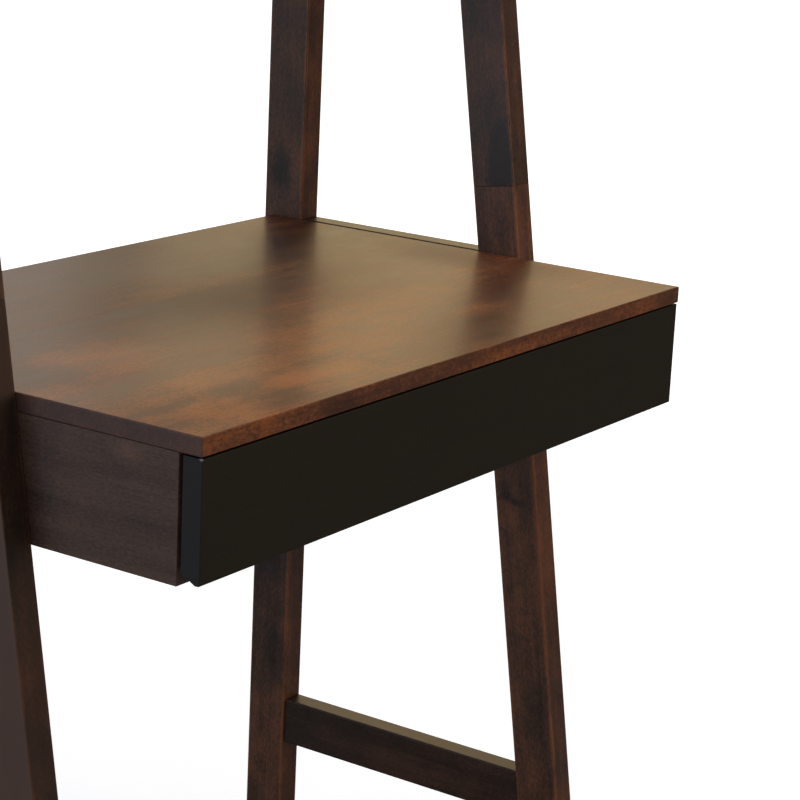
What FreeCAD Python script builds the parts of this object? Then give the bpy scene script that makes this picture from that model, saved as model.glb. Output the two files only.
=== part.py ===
"""Ladder desk: two tapered side frames carry a desk case with one wide drawer and three shelves.

Frame of the model: millimetres, +X to the right, +Y to the back, +Z up.
The origin lies on the floor, at the middle of the width and of the depth.
Each side frame is an upright back post and a front post that leans back, joined by rails.
The back post runs through in one length, and the front post is spliced just above the desk.
"""
import FreeCAD, Part
import math
import os
from FreeCAD import Vector

X_AXIS = Vector(1, 0, 0)
Y_AXIS = Vector(0, 1, 0)
Z_AXIS = Vector(0, 0, 1)
LEFT = -1
RIGHT = 1
SIDE_NAMES = {LEFT: "left", RIGHT: "right"}

# Overall sizes
HEIGHT = 1830.0            # floor to the tops of the posts
DESK_WIDTH = 750.0         # width of the desktop and of the shelves, between the side frames
DESK_DEPTH = 508.0
DESK_HEIGHT = 762.0        # floor to the desktop's upper face
BOARD_THICK = 16.0         # desktop and shelves
BOARD_EASE = 1.2           # rounding of their edges
SIDE_GAP = 0.5             # between a board's end and the post beside it

# Posts
POST_THICK = 30.0          # across the desk
POST_WIDTH = 50.0          # square to the post's own length
POST_EASE = 1.5
FRAME_DEPTH = 331.5        # front face of a front post to the back of its back post, at the desktop
HEAD_DEPTH = 171.5         # the same at the tops of the posts
BACK_OVERHANG = 11.5       # back posts behind the desktop's back edge
SPLICE_RISE = 70.0         # front posts' splice above the desktop, on the post's middle line
END_EASE = 1.0             # chamfer round the foot and the head of each post
SPLICE_EASE = 0.4          # chamfer round both sides of a splice

# Rails between the posts of one side frame
RAIL_THICK = 24.0
RAIL_HEIGHT = 53.0
RAIL_INSET = 3.0           # inner face of a rail behind the inner face of its posts
RAIL_EASE = 1.5
FOOT_RAIL_TOP = 196.5
SHELF_RAIL_HEIGHT = 30.0
TENON_THICK = 9.0
TENON_SHOULDER = 7.0       # above and below the tenon
TENON_LENGTH = 22.0
MORTISE_PLAY = 0.1         # on each cheek
MORTISE_DEEPER = 0.5

# Shelves above the desk
FIRST_SHELF_RISE = 378.0   # desktop to the first shelf
SECOND_SHELF_RISE = 340.0  # first shelf to the second
TOP_SHELF_DROP = 40.0      # post tops to the top shelf
SHELF_APRON_THICK = 18.0
SHELF_APRON_HEIGHT = 34.0
CLEAT_THICK = 18.0

# Desk case
CASE_THICK = 18.0
CASE_DROP = 122.5          # desktop's upper face to the lower edge of the case
CASE_SETBACK = 22.0        # desktop's front edge to the front edge of the case
BATTEN_DEPTH = 45.0
BATTEN_SETBACK = 10.0      # behind the front edge of the case

# Drawer
FRONT_THICK = 18.5         # the black front
FRONT_SET = 0.5            # behind the desktop's front edge
FRONT_REVEAL = 1.3         # at each end
FRONT_TOP_GAP = 1.5        # below the desktop
FRONT_DROP = 118.5         # desktop's upper face to the front's lower edge
FRONT_EASE = 1.2
PULL_FLAT = 4.5            # lower edge left flat in front of the finger bevel
PULL_RISE = 7.5            # rise of the finger bevel to the back of the front
BOX_THICK = 12.0
BOX_REAR_ROOM = 42.5       # behind the box, in front of the case back
BOX_EASE = 1.0             # top edges of its walls
BOX_TOP_GAP = 4.0          # below the batten
BOX_BOTTOM_RISE = 6.5      # above the lower edge of the black front
FINGERS = 7                # fingers and sockets along each corner of the box
FINGER_PLAY = 0.05
PANEL_THICK = 4.0          # drawer bottom
PANEL_RISE = 12.0
PANEL_BITE = 5.0           # into each wall of the box
PANEL_PLAY = 0.15

# Roller runners
RUNNER_SPACE = 12.5        # between the case side and the drawer side
RUNNER_LENGTH = 350.0
RUNNER_SETBACK = 5.0       # behind the front edge of the case
RUNNER_SHEET = 1.2
RUNNER_BEND = 0.8          # inner radius of its bends
BEND_ROOM = 0.2            # box's rounded lower edge beyond the bend that it sits in
RUNNER_FLANGE = 10.6       # reach of the case runner's flanges
RUNNER_WRAP = 6.0          # case runner's lower face below the drawer box
ROLLER_WIDTH = 8.0
ROLLER_CLEAR = 0.1         # between a roller and the flange it runs on
FRONT_ROLLER_R = 10.0
REAR_ROLLER_R = 10.9
ROLLER_HUB_RISE = 0.6
FRONT_ROLLER_SET = 14.0    # front roller's middle behind the front end of the case runner
OPEN_PITCH = 33.6          # rear roller's middle behind the front one's, with the drawer fully open
ROOF_COVER = 2.6           # case runner's roof ahead of the rear roller's middle there
STOP_RISE = 3.0            # tab in the case runner's floor that stops the rear roller
STOP_GAP = 0.3             # left between a stop and the roller
PIN_R = 2.5
PIN_PLAY = 0.05
PIN_HEAD_R = 4.0
PIN_HEAD_THICK = 0.6

# Fasteners
DOWEL_R = 4.0
DOWEL_PLAY = 0.05
DOWEL_IN_BOARD = 10.0
DOWEL_IN_FRAME = 14.0
DOWEL_END_ROOM = 0.5
SPLICE_DOWEL_LENGTH = 50.0
SPLICE_DOWEL_PITCH = 24.0
BOLT_R = 3.0
BOLT_PLAY = 0.25
BOLT_HEAD_R = 8.5
BOLT_HEAD_THICK = 2.0
BOLT_HEX = 4.0             # across the flats of the key socket
BOLT_HEX_DEPTH = 1.4
BOLT_IN_POST = 15.0
INSERT_R = 4.5
INSERT_LENGTH = 12.0
BOLT_FROM_BOARD = 12.0     # bolt's middle from the apron or the case back beside it
BOLT_BELOW_TENON = 11.0    # bolt's middle below the rail tenon above it
CASE_BOLT_PITCH = 24.0
SCREW_R = 1.75
SCREW_HEAD_R = 3.4
SCREW_LENGTH = 11.0        # in the wood
FRONT_SCREW_R = 2.0
FRONT_SCREW_HEAD_R = 4.0
FRONT_SCREW_HEAD_THICK = 1.5
FRONT_SCREW_LENGTH = 24.0
GLIDE_R = 10.0
GLIDE_THICK = 3.0
GLIDE_EASE = 1.0
NAIL_R = 1.2
NAIL_LENGTH = 12.0
NAIL_PLAY = 0.05

# Places worked out from the sizes
TOTAL_DEPTH = DESK_DEPTH + BACK_OVERHANG
DESK_FRONT_Y = -TOTAL_DEPTH / 2
DESK_BACK_Y = DESK_FRONT_Y + DESK_DEPTH
POST_BACK_Y = TOTAL_DEPTH / 2
BACK_POST_FRONT_Y = POST_BACK_Y - POST_WIDTH
POST_INNER_X = DESK_WIDTH / 2 + SIDE_GAP
FRAME_CENTRE_X = POST_INNER_X + POST_THICK / 2
FRONT_LEAN = (FRAME_DEPTH - HEAD_DEPTH) / (HEIGHT - DESK_HEIGHT)
LEAN_ANGLE = math.atan(FRONT_LEAN)
FRONT_POST_RUN = POST_WIDTH / math.cos(LEAN_ANGLE)
SPLICE_Z = DESK_HEIGHT + SPLICE_RISE
SHELF_TOPS = (
    DESK_HEIGHT + FIRST_SHELF_RISE,
    DESK_HEIGHT + FIRST_SHELF_RISE + SECOND_SHELF_RISE,
    HEIGHT - TOP_SHELF_DROP,
)
SHELF_NAMES = ("first_shelf", "second_shelf", "top_shelf")
BOARD_UNDER_Z = DESK_HEIGHT - BOARD_THICK
CASE_BOTTOM_Z = DESK_HEIGHT - CASE_DROP
CASE_FRONT_Y = DESK_FRONT_Y + CASE_SETBACK
CASE_INNER_X = DESK_WIDTH / 2 - CASE_THICK
BATTEN_FRONT_Y = CASE_FRONT_Y + BATTEN_SETBACK
FRONT_FACE_Y = DESK_FRONT_Y + FRONT_SET
BOX_FRONT_Y = FRONT_FACE_Y + FRONT_THICK
BOX_BACK_Y = DESK_BACK_Y - CASE_THICK - BOX_REAR_ROOM
BOX_OUTER_X = CASE_INNER_X - RUNNER_SPACE
BOX_INNER_X = BOX_OUTER_X - BOX_THICK
FRONT_BOTTOM_Z = DESK_HEIGHT - FRONT_DROP
BOX_BOTTOM_Z = FRONT_BOTTOM_Z + BOX_BOTTOM_RISE
BOX_TOP_Z = BOARD_UNDER_Z - CASE_THICK - BOX_TOP_GAP
BOX_HEIGHT = BOX_TOP_Z - BOX_BOTTOM_Z
RUNNER_Z = BOX_BOTTOM_Z - RUNNER_WRAP
RUNNER_FRONT_Y = CASE_FRONT_Y + RUNNER_SETBACK
RUNNER_BACK_Y = RUNNER_FRONT_Y + RUNNER_LENGTH
REAR_ROLLER_Z = RUNNER_Z + RUNNER_SHEET + ROLLER_CLEAR + REAR_ROLLER_R
FRONT_ROLLER_Z = REAR_ROLLER_Z
RIDE_FLANGE_Z = FRONT_ROLLER_Z + FRONT_ROLLER_R + ROLLER_CLEAR
RUNNER_TOP_Z = RIDE_FLANGE_Z + 2 * RUNNER_SHEET + 4 * ROLLER_CLEAR
FRONT_ROLLER_Y = RUNNER_FRONT_Y + FRONT_ROLLER_SET
REAR_ROLLER_Y = RUNNER_BACK_Y - RUNNER_SHEET - STOP_GAP - REAR_ROLLER_R
OUTER_BEND = RUNNER_BEND + RUNNER_SHEET
DRAWER_TRAVEL = REAR_ROLLER_Y - FRONT_ROLLER_Y - OPEN_PITCH
ROOF_FRONT_Y = FRONT_ROLLER_Y + OPEN_PITCH - ROOF_COVER
DRAWER_WEB_X = BOX_OUTER_X + RUNNER_SHEET
DOWEL_LENGTH = DOWEL_IN_BOARD + DOWEL_IN_FRAME - 2 * DOWEL_END_ROOM


# ---------------------------------------------------------------- helpers

def block(x_low, x_high, y_low, y_high, z_low, z_high):
    """A box between two corners."""
    corner = Vector(x_low, y_low, z_low)
    return Part.makeBox(x_high - x_low, y_high - y_low, z_high - z_low, corner)


def plate_yz(points, x_low, x_high):
    """A prism whose outline lies in the YZ plane, from x_low to x_high."""
    corners = [Vector(x_low, y, z) for y, z in points]
    outline = Part.makePolygon(corners + corners[:1])
    return Part.Face(outline).extrude(Vector(x_high - x_low, 0, 0))


def rod(radius, start, direction, length):
    """A round bar from a point along a direction."""
    return Part.makeCylinder(radius, length, start, direction)


def straight_edges_along(shape, direction):
    """The straight edges of a shape that run along a direction."""
    found = []
    for edge in shape.Edges:
        if isinstance(edge.Curve, Part.Line):
            run = edge.tangentAt(edge.FirstParameter)
            if run.cross(direction).Length < 1e-4:
                found.append(edge)
    return found


def ease_along(shape, direction, radius):
    """Rounds the edges that run along a direction."""
    return shape.makeFillet(radius, straight_edges_along(shape, direction))


def edges_at(shape, x, z):
    """The edges along Y that pass through a point of the XZ plane."""
    found = []
    for edge in straight_edges_along(shape, Y_AXIS):
        end = edge.Vertexes[0]
        if abs(end.X - x) < 1e-3 and abs(end.Z - z) < 1e-3:
            found.append(edge)
    return found


def round_bends(shape, radius, corners):
    """Rounds the edges along Y at each corner, given as X and Z."""
    return shape.makeFillet(radius, [edge for x, z in corners for edge in edges_at(shape, x, z)])


def ease_flat_end(shape, direction, size):
    """Chamfers the rim of the flat end that faces a direction."""
    rim = []
    for face in shape.Faces:
        if isinstance(face.Surface, Part.Plane):
            if (face.normalAt(0, 0) - direction).Length < 1e-4:
                rim = rim + face.OuterWire.Edges
    return shape.makeChamfer(size, rim)


def eased_board(x_low, x_high, y_low, y_high, z_low, z_high, radius):
    """A board with all of its edges rounded alike."""
    board = block(x_low, x_high, y_low, y_high, z_low, z_high)
    return board.makeFillet(radius, board.Edges)


def mirrored(shape, side):
    """A shape made for the right side, or its mirror image on the left."""
    return shape if side == RIGHT else shape.mirror(Vector(0, 0, 0), X_AXIS)


def without(shape, tools):
    """A shape less every tool."""
    return shape.cut(tools) if tools else shape


# ---------------------------------------------------------------- side frames, made on the right

def front_post_y(z):
    """Front face of the front post at a height."""
    return POST_BACK_Y - FRAME_DEPTH + FRONT_LEAN * (z - DESK_HEIGHT)


def front_post_direction():
    return Vector(0, math.sin(LEAN_ANGLE), math.cos(LEAN_ANGLE))


def front_post_across():
    """Unit vector from the front post's front face to its back face."""
    return Vector(0, math.cos(LEAN_ANGLE), -math.sin(LEAN_ANGLE))


def splice_middle():
    """Middle of the front post where its two lengths meet."""
    return Vector(FRAME_CENTRE_X, front_post_y(SPLICE_Z) + FRONT_POST_RUN / 2, SPLICE_Z)


def rail_levels():
    """Name, upper face and height of each rail, from the floor up."""
    levels = [("foot_rail", FOOT_RAIL_TOP, RAIL_HEIGHT), ("desk_rail", DESK_HEIGHT, RAIL_HEIGHT)]
    for name, top in zip(SHELF_NAMES, SHELF_TOPS):
        levels.append((name + "_rail", top, SHELF_RAIL_HEIGHT))
    return levels


def rail_x(grow=0.0, thick=RAIL_THICK):
    """Lowest and highest X of a rail, or of something centred on it."""
    middle = POST_INNER_X + RAIL_INSET + RAIL_THICK / 2
    return middle - thick / 2 - grow, middle + thick / 2 + grow


def rail_outline(z_low, z_high, reach):
    """Rail outline between the posts, longer by reach at each end."""
    front_low = front_post_y(z_low) + FRONT_POST_RUN - reach
    front_high = front_post_y(z_high) + FRONT_POST_RUN - reach
    back = BACK_POST_FRONT_Y + reach
    return [(front_low, z_low), (back, z_low), (back, z_high), (front_high, z_high)]


def rail(top, height):
    """One rail with a tenon on each end."""
    low, high = rail_x()
    bar = ease_along(plate_yz(rail_outline(top - height, top, 0.0), low, high), Y_AXIS, RAIL_EASE)
    tenon_low = top - height + TENON_SHOULDER
    tenon_high = top - TENON_SHOULDER
    low, high = rail_x(thick=TENON_THICK)
    tongue = plate_yz(rail_outline(tenon_low, tenon_high, TENON_LENGTH), low, high)
    return bar.fuse(tongue).removeSplitter()


def mortise(top, height):
    """The slots that a rail's tenons need in both posts."""
    low, high = rail_x(grow=MORTISE_PLAY, thick=TENON_THICK)
    tenon_low = top - height + TENON_SHOULDER - MORTISE_PLAY
    tenon_high = top - TENON_SHOULDER + MORTISE_PLAY
    return plate_yz(rail_outline(tenon_low, tenon_high, TENON_LENGTH + MORTISE_DEEPER), low, high)


def splice_rods(radius, length):
    """Both dowels of a front post's splice, or their holes."""
    along = front_post_direction()
    rods = []
    for step in (-1, 1):
        centre = splice_middle() + front_post_across() * (step * SPLICE_DOWEL_PITCH / 2)
        rods.append(rod(radius, centre - along * (length / 2), along, length))
    return rods


def glide_sites():
    """Middle of each post's foot on the right side."""
    front = Vector(FRAME_CENTRE_X, front_post_y(GLIDE_THICK) + FRONT_POST_RUN / 2, 0)
    back = Vector(FRAME_CENTRE_X, BACK_POST_FRONT_Y + POST_WIDTH / 2, 0)
    return [front, back]


def bolt_z(top, height):
    """Height of a bolt that passes under the tenon of a rail."""
    return top - height + TENON_SHOULDER - BOLT_BELOW_TENON


def case_bolt_sites():
    """Y and Z of the bolts that hold the desk case to one side frame."""
    upper = bolt_z(DESK_HEIGHT, RAIL_HEIGHT)
    sites = []
    for z in (upper, upper - CASE_BOLT_PITCH):
        sites.append((front_post_y(z) + FRONT_POST_RUN / 2, z))
        sites.append((DESK_BACK_Y - CASE_THICK - BOLT_FROM_BOARD, z))
    return sites


def shelf_bolt_sites(top):
    """Y and Z of the bolts that hold one shelf to one side frame."""
    z = bolt_z(top, SHELF_RAIL_HEIGHT)
    front = front_post_y(top) + SHELF_APRON_THICK + BOLT_FROM_BOARD
    return [(front, z), (BACK_POST_FRONT_Y + POST_WIDTH / 2, z)]


def bolt_sites():
    sites = case_bolt_sites()
    for top in SHELF_TOPS:
        sites = sites + shelf_bolt_sites(top)
    return sites


def insert_holes():
    """Stepped holes in the posts for the threaded inserts and the bolts' tips."""
    holes = []
    for y, z in bolt_sites():
        start = Vector(POST_INNER_X, y, z)
        holes.append(rod(INSERT_R, start, X_AXIS, INSERT_LENGTH))
        holes.append(rod(BOLT_R + BOLT_PLAY, start, X_AXIS, BOLT_IN_POST + DOWEL_END_ROOM))
    return holes


def post_cuts():
    """Everything that is cut out of the posts of one side frame."""
    cuts = [mortise(top, height) for name, top, height in rail_levels()]
    cuts = cuts + splice_rods(DOWEL_R + DOWEL_PLAY, SPLICE_DOWEL_LENGTH + 2 * DOWEL_END_ROOM)
    cuts = cuts + insert_holes()
    for foot in glide_sites():
        cuts.append(rod(NAIL_R + NAIL_PLAY, foot, Z_AXIS, GLIDE_THICK + NAIL_LENGTH + DOWEL_END_ROOM))
    return cuts


def post_length(outline, along, free_ends, splice_ends):
    """A length of post, eased at its foot or head, along its corners and at its splice."""
    bar = plate_yz(outline, POST_INNER_X, POST_INNER_X + POST_THICK)
    for direction in free_ends:
        bar = ease_flat_end(bar, direction, END_EASE)
    bar = bar.makeFillet(POST_EASE, [e for e in straight_edges_along(bar, along) if e.Length > POST_WIDTH])
    for direction in splice_ends:
        bar = ease_flat_end(bar, direction, SPLICE_EASE)
    return bar


def front_post():
    """Lower and upper lengths of the front post, cut square at the splice."""
    along = front_post_direction()
    half = front_post_across() * (POST_WIDTH / 2)
    splice = []
    for corner in (splice_middle() - half, splice_middle() + half):
        splice.append((corner.y, corner.z))
    foot_y = front_post_y(GLIDE_THICK)
    head_y = front_post_y(HEIGHT)
    foot = [(foot_y, GLIDE_THICK), (foot_y + FRONT_POST_RUN, GLIDE_THICK)]
    head = [(head_y + FRONT_POST_RUN, HEIGHT), (head_y, HEIGHT)]
    lower = post_length(foot + splice[::-1], along, [Z_AXIS * -1], [along])
    upper = post_length(splice + head, along, [Z_AXIS], [along * -1])
    return lower, upper


def back_post():
    """The upright back post, in one length."""
    front = BACK_POST_FRONT_Y
    back = POST_BACK_Y
    outline = [(front, GLIDE_THICK), (back, GLIDE_THICK), (back, HEIGHT), (front, HEIGHT)]
    return post_length(outline, Z_AXIS, [Z_AXIS, Z_AXIS * -1], [])


def side_frame():
    """Every wooden piece of the right side frame, by name."""
    cuts = post_cuts()
    front_lower, front_upper = front_post()
    pieces = {
        "front_post_lower": without(front_lower, cuts),
        "front_post_upper": without(front_upper, cuts),
        "back_post": without(back_post(), cuts),
    }
    for name, top, height in rail_levels():
        pieces[name] = rail(top, height)
    return pieces


def glide(foot):
    """A round floor glide with the nail that holds it."""
    disc = rod(GLIDE_R, foot, Z_AXIS, GLIDE_THICK)
    lower_rim = [e for e in disc.Edges if abs(e.BoundBox.ZMax) < 1e-6]
    disc = disc.makeFillet(GLIDE_EASE, lower_rim)
    nail = rod(NAIL_R, foot + Z_AXIS * (GLIDE_THICK / 2), Z_AXIS, GLIDE_THICK / 2 + NAIL_LENGTH)
    return disc.fuse(nail)


# ---------------------------------------------------------------- dowels that hold boards on their frames

def between(low, high, count):
    """Evenly spaced places inside a span."""
    step = (high - low) / count
    return [low + step * (i + 0.5) for i in range(count)]


def case_dowel_sites():
    """Dowels between the desktop and the case, as points on the joint."""
    z = BOARD_UNDER_Z
    side_x = DESK_WIDTH / 2 - CASE_THICK / 2
    sites = []
    for y in between(CASE_FRONT_Y, DESK_BACK_Y - CASE_THICK, 3):
        sites = sites + [Vector(-side_x, y, z), Vector(side_x, y, z)]
    for x in between(-CASE_INNER_X, CASE_INNER_X, 3):
        sites.append(Vector(x, DESK_BACK_Y - CASE_THICK / 2, z))
        sites.append(Vector(x, BATTEN_FRONT_Y + BATTEN_DEPTH / 2, z))
    return sites


def shelf_front_y(top):
    return front_post_y(top)


def shelf_dowel_sites(top):
    """Dowels between one shelf and its aprons, as points on the joint."""
    z = top - BOARD_THICK
    front = shelf_front_y(top)
    sites = []
    for x in between(-DESK_WIDTH / 2, DESK_WIDTH / 2, 3):
        sites.append(Vector(x, front + SHELF_APRON_THICK / 2, z))
    for y in between(front + SHELF_APRON_THICK, DESK_BACK_Y, 2):
        for side in (LEFT, RIGHT):
            sites.append(Vector(side * (DESK_WIDTH - CLEAT_THICK) / 2, y, z))
    return sites


def dowel_holes(sites):
    """Holes for the dowels, in the board above and in the frame below."""
    start = Z_AXIS * -(DOWEL_IN_FRAME)
    length = DOWEL_IN_BOARD + DOWEL_IN_FRAME
    return [rod(DOWEL_R + DOWEL_PLAY, site + start, Z_AXIS, length) for site in sites]


def dowels(sites):
    start = Z_AXIS * -(DOWEL_IN_FRAME - DOWEL_END_ROOM)
    return [rod(DOWEL_R, site + start, Z_AXIS, DOWEL_LENGTH) for site in sites]


# ---------------------------------------------------------------- desk case

def desktop():
    half = DESK_WIDTH / 2
    board = eased_board(-half, half, DESK_FRONT_Y, DESK_BACK_Y, BOARD_UNDER_Z, DESK_HEIGHT, BOARD_EASE)
    return without(board, dowel_holes(case_dowel_sites()))


def bolt_holes(sites):
    """Clearance holes for bolts through a board on the right."""
    return [rod(BOLT_R + BOLT_PLAY, Vector(0, y, z), X_AXIS, POST_INNER_X) for y, z in sites]


def runner_screw_ys():
    """Three screw places along a runner, between its rollers."""
    return between(FRONT_ROLLER_Y + FRONT_ROLLER_R, REAR_ROLLER_Y - REAR_ROLLER_R, 3)


def runner_screw_z():
    return (RUNNER_Z + RUNNER_TOP_Z) / 2


def case_side():
    """Right side panel of the desk case."""
    side = block(CASE_INNER_X, DESK_WIDTH / 2, CASE_FRONT_Y, DESK_BACK_Y, CASE_BOTTOM_Z, BOARD_UNDER_Z)
    side = ease_along(side, Z_AXIS, BOARD_EASE / 2)
    cuts = dowel_holes(case_dowel_sites()) + bolt_holes(case_bolt_sites())
    for y in runner_screw_ys():
        cuts.append(rod(SCREW_R, Vector(CASE_INNER_X, y, runner_screw_z()), X_AXIS, SCREW_LENGTH))
    return without(side, cuts)


def case_back():
    back = block(-CASE_INNER_X, CASE_INNER_X, DESK_BACK_Y - CASE_THICK, DESK_BACK_Y,
                 CASE_BOTTOM_Z, BOARD_UNDER_Z)
    return without(back, dowel_holes(case_dowel_sites()))


def case_batten():
    batten = block(-CASE_INNER_X, CASE_INNER_X, BATTEN_FRONT_Y, BATTEN_FRONT_Y + BATTEN_DEPTH,
                   BOARD_UNDER_Z - CASE_THICK, BOARD_UNDER_Z)
    return without(batten, dowel_holes(case_dowel_sites()))


# ---------------------------------------------------------------- shelves

def shelf_board(top):
    half = DESK_WIDTH / 2
    board = eased_board(-half, half, shelf_front_y(top), DESK_BACK_Y, top - BOARD_THICK, top, BOARD_EASE)
    return without(board, dowel_holes(shelf_dowel_sites(top)))


def shelf_apron(top):
    """The strip that stiffens the front of a shelf."""
    half = DESK_WIDTH / 2
    front = shelf_front_y(top)
    z_high = top - BOARD_THICK
    strip = block(-half, half, front, front + SHELF_APRON_THICK, z_high - SHELF_APRON_HEIGHT, z_high)
    strip = ease_along(strip, X_AXIS, BOARD_EASE / 2)
    return without(strip, dowel_holes(shelf_dowel_sites(top)))


def shelf_cleat(top):
    """Right end cleat of a shelf, behind its apron."""
    z_high = top - BOARD_THICK
    cleat = block(DESK_WIDTH / 2 - CLEAT_THICK, DESK_WIDTH / 2,
                  shelf_front_y(top) + SHELF_APRON_THICK, DESK_BACK_Y,
                  z_high - SHELF_APRON_HEIGHT, z_high)
    return without(cleat, bolt_holes(shelf_bolt_sites(top)) + dowel_holes(shelf_dowel_sites(top)))


def shelf(name, top):
    """One shelf: board, front apron and two end cleats."""
    cleat = shelf_cleat(top)
    return {
        name + "_board": [shelf_board(top)],
        name + "_apron": [shelf_apron(top)],
        name + "_cleat_left": [mirrored(cleat, LEFT)],
        name + "_cleat_right": [cleat],
    }


# ---------------------------------------------------------------- drawer

def finger_slots(first, x_low, x_high, y_low, y_high):
    """Sockets of a finger joint up one corner of the box, starting at a given finger."""
    pitch = BOX_HEIGHT / FINGERS
    slots = []
    for i in range(first, FINGERS, 2):
        z_low = BOX_BOTTOM_Z + pitch * i - FINGER_PLAY
        slots.append(block(x_low, x_high, y_low, y_high, z_low, z_low + pitch + 2 * FINGER_PLAY))
    return slots


def panel_block(play):
    """The drawer bottom, or the groove that it needs in all four walls."""
    reach_x = BOX_INNER_X + PANEL_BITE + play
    low = BOX_FRONT_Y + BOX_THICK - PANEL_BITE - play
    high = BOX_BACK_Y - BOX_THICK + PANEL_BITE + play
    z_low = BOX_BOTTOM_Z + PANEL_RISE
    return block(-reach_x, reach_x, low, high, z_low - play, z_low + PANEL_THICK + play)


def front_screw_sites():
    """X and Z of the screws that hold the black front to the box."""
    z_middle = (BOX_BOTTOM_Z + BOX_TOP_Z) / 2
    return [(x, z_middle) for x in between(-BOX_INNER_X, BOX_INNER_X, 4)]


def front_screw_hole(x, z):
    start = Vector(x, BOX_FRONT_Y + BOX_THICK, z)
    return rod(FRONT_SCREW_R, start, Y_AXIS * -1, FRONT_SCREW_LENGTH)


def ease_top(wall, direction):
    """Rounds the two top edges of a wall that runs along a direction."""
    top = [e for e in straight_edges_along(wall, direction) if e.BoundBox.ZMin > BOX_TOP_Z - 1e-3]
    return wall.makeFillet(BOX_EASE, top)


def drawer_side():
    """Right wall of the drawer box, rounded below to sit in the bend of its runner."""
    wall = block(BOX_INNER_X, BOX_OUTER_X, BOX_FRONT_Y, BOX_BACK_Y, BOX_BOTTOM_Z, BOX_TOP_Z)
    wall = ease_top(wall, Y_AXIS)
    wall = wall.makeFillet(RUNNER_BEND + BEND_ROOM, edges_at(wall, BOX_OUTER_X, BOX_BOTTOM_Z))
    cuts = finger_slots(1, BOX_INNER_X, BOX_OUTER_X, BOX_FRONT_Y, BOX_FRONT_Y + BOX_THICK)
    cuts = cuts + finger_slots(1, BOX_INNER_X, BOX_OUTER_X, BOX_BACK_Y - BOX_THICK, BOX_BACK_Y)
    cuts.append(panel_block(PANEL_PLAY))
    for y in runner_screw_ys():
        cuts.append(rod(SCREW_R, Vector(BOX_OUTER_X, y, runner_screw_z()), X_AXIS * -1, SCREW_LENGTH))
    return without(wall, cuts)


def drawer_end(y_low):
    """Front or back wall of the drawer box."""
    y_high = y_low + BOX_THICK
    wall = block(-BOX_OUTER_X, BOX_OUTER_X, y_low, y_high, BOX_BOTTOM_Z, BOX_TOP_Z)
    wall = ease_top(wall, X_AXIS)
    cuts = finger_slots(0, BOX_INNER_X, BOX_OUTER_X, y_low, y_high)
    cuts = cuts + finger_slots(0, -BOX_OUTER_X, -BOX_INNER_X, y_low, y_high)
    cuts.append(panel_block(PANEL_PLAY))
    return without(wall, cuts)


def drawer_box_front():
    cuts = [front_screw_hole(x, z) for x, z in front_screw_sites()]
    return without(drawer_end(BOX_FRONT_Y), cuts)


def drawer_front():
    """The black front, bevelled behind its lower edge as a finger pull."""
    half = DESK_WIDTH / 2 - FRONT_REVEAL
    back = BOX_FRONT_Y
    outline = [
        (FRONT_FACE_Y, FRONT_BOTTOM_Z),
        (FRONT_FACE_Y + PULL_FLAT, FRONT_BOTTOM_Z),
        (back, FRONT_BOTTOM_Z + PULL_RISE),
        (back, BOARD_UNDER_Z - FRONT_TOP_GAP),
        (FRONT_FACE_Y, BOARD_UNDER_Z - FRONT_TOP_GAP),
    ]
    panel = plate_yz(outline, -half, half)
    rim = [e for e in panel.Edges if e.BoundBox.YMax < FRONT_FACE_Y + 1e-3]
    panel = panel.makeFillet(FRONT_EASE, rim)
    return without(panel, [front_screw_hole(x, z) for x, z in front_screw_sites()])


# ---------------------------------------------------------------- runners, made on the right

def stop_tab_y():
    """Back face of the tab that the rear roller meets when the drawer is fully open."""
    drop = REAR_ROLLER_R + ROLLER_CLEAR - STOP_RISE
    reach = math.sqrt(REAR_ROLLER_R ** 2 - drop ** 2)
    return REAR_ROLLER_Y - DRAWER_TRAVEL - reach - STOP_GAP


def case_runner():
    """Bent channel on the case side, closed behind and with a stop tab for the rear roller.

    Its roof leaves the front open, where the rear roller is lifted in over the front one.
    """
    wall = CASE_INNER_X
    mouth = wall - RUNNER_FLANGE
    web = wall - RUNNER_SHEET
    floor_z = RUNNER_Z + RUNNER_SHEET
    roof_z = RUNNER_TOP_Z - RUNNER_SHEET
    outside = block(mouth, wall, RUNNER_FRONT_Y, RUNNER_BACK_Y, RUNNER_Z, RUNNER_TOP_Z)
    outside = round_bends(outside, OUTER_BEND, [(wall, RUNNER_Z), (wall, RUNNER_TOP_Z)])
    hollow = block(mouth, web, RUNNER_FRONT_Y, RUNNER_BACK_Y - RUNNER_SHEET, floor_z, roof_z)
    hollow = round_bends(hollow, RUNNER_BEND, [(web, floor_z), (web, roof_z)])
    stop = block(mouth, wall - OUTER_BEND, stop_tab_y() - RUNNER_SHEET, stop_tab_y(),
                 RUNNER_Z, floor_z + STOP_RISE)
    channel = outside.cut(hollow).fuse(stop).removeSplitter()
    entry = block(mouth, wall, RUNNER_FRONT_Y, ROOF_FRONT_Y, RUNNER_TOP_Z - OUTER_BEND, RUNNER_TOP_Z)
    pin_hole = rod(PIN_R, Vector(mouth, FRONT_ROLLER_Y, FRONT_ROLLER_Z), X_AXIS, RUNNER_FLANGE)
    return without(channel, [entry, pin_hole] + case_runner_screws())


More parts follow.
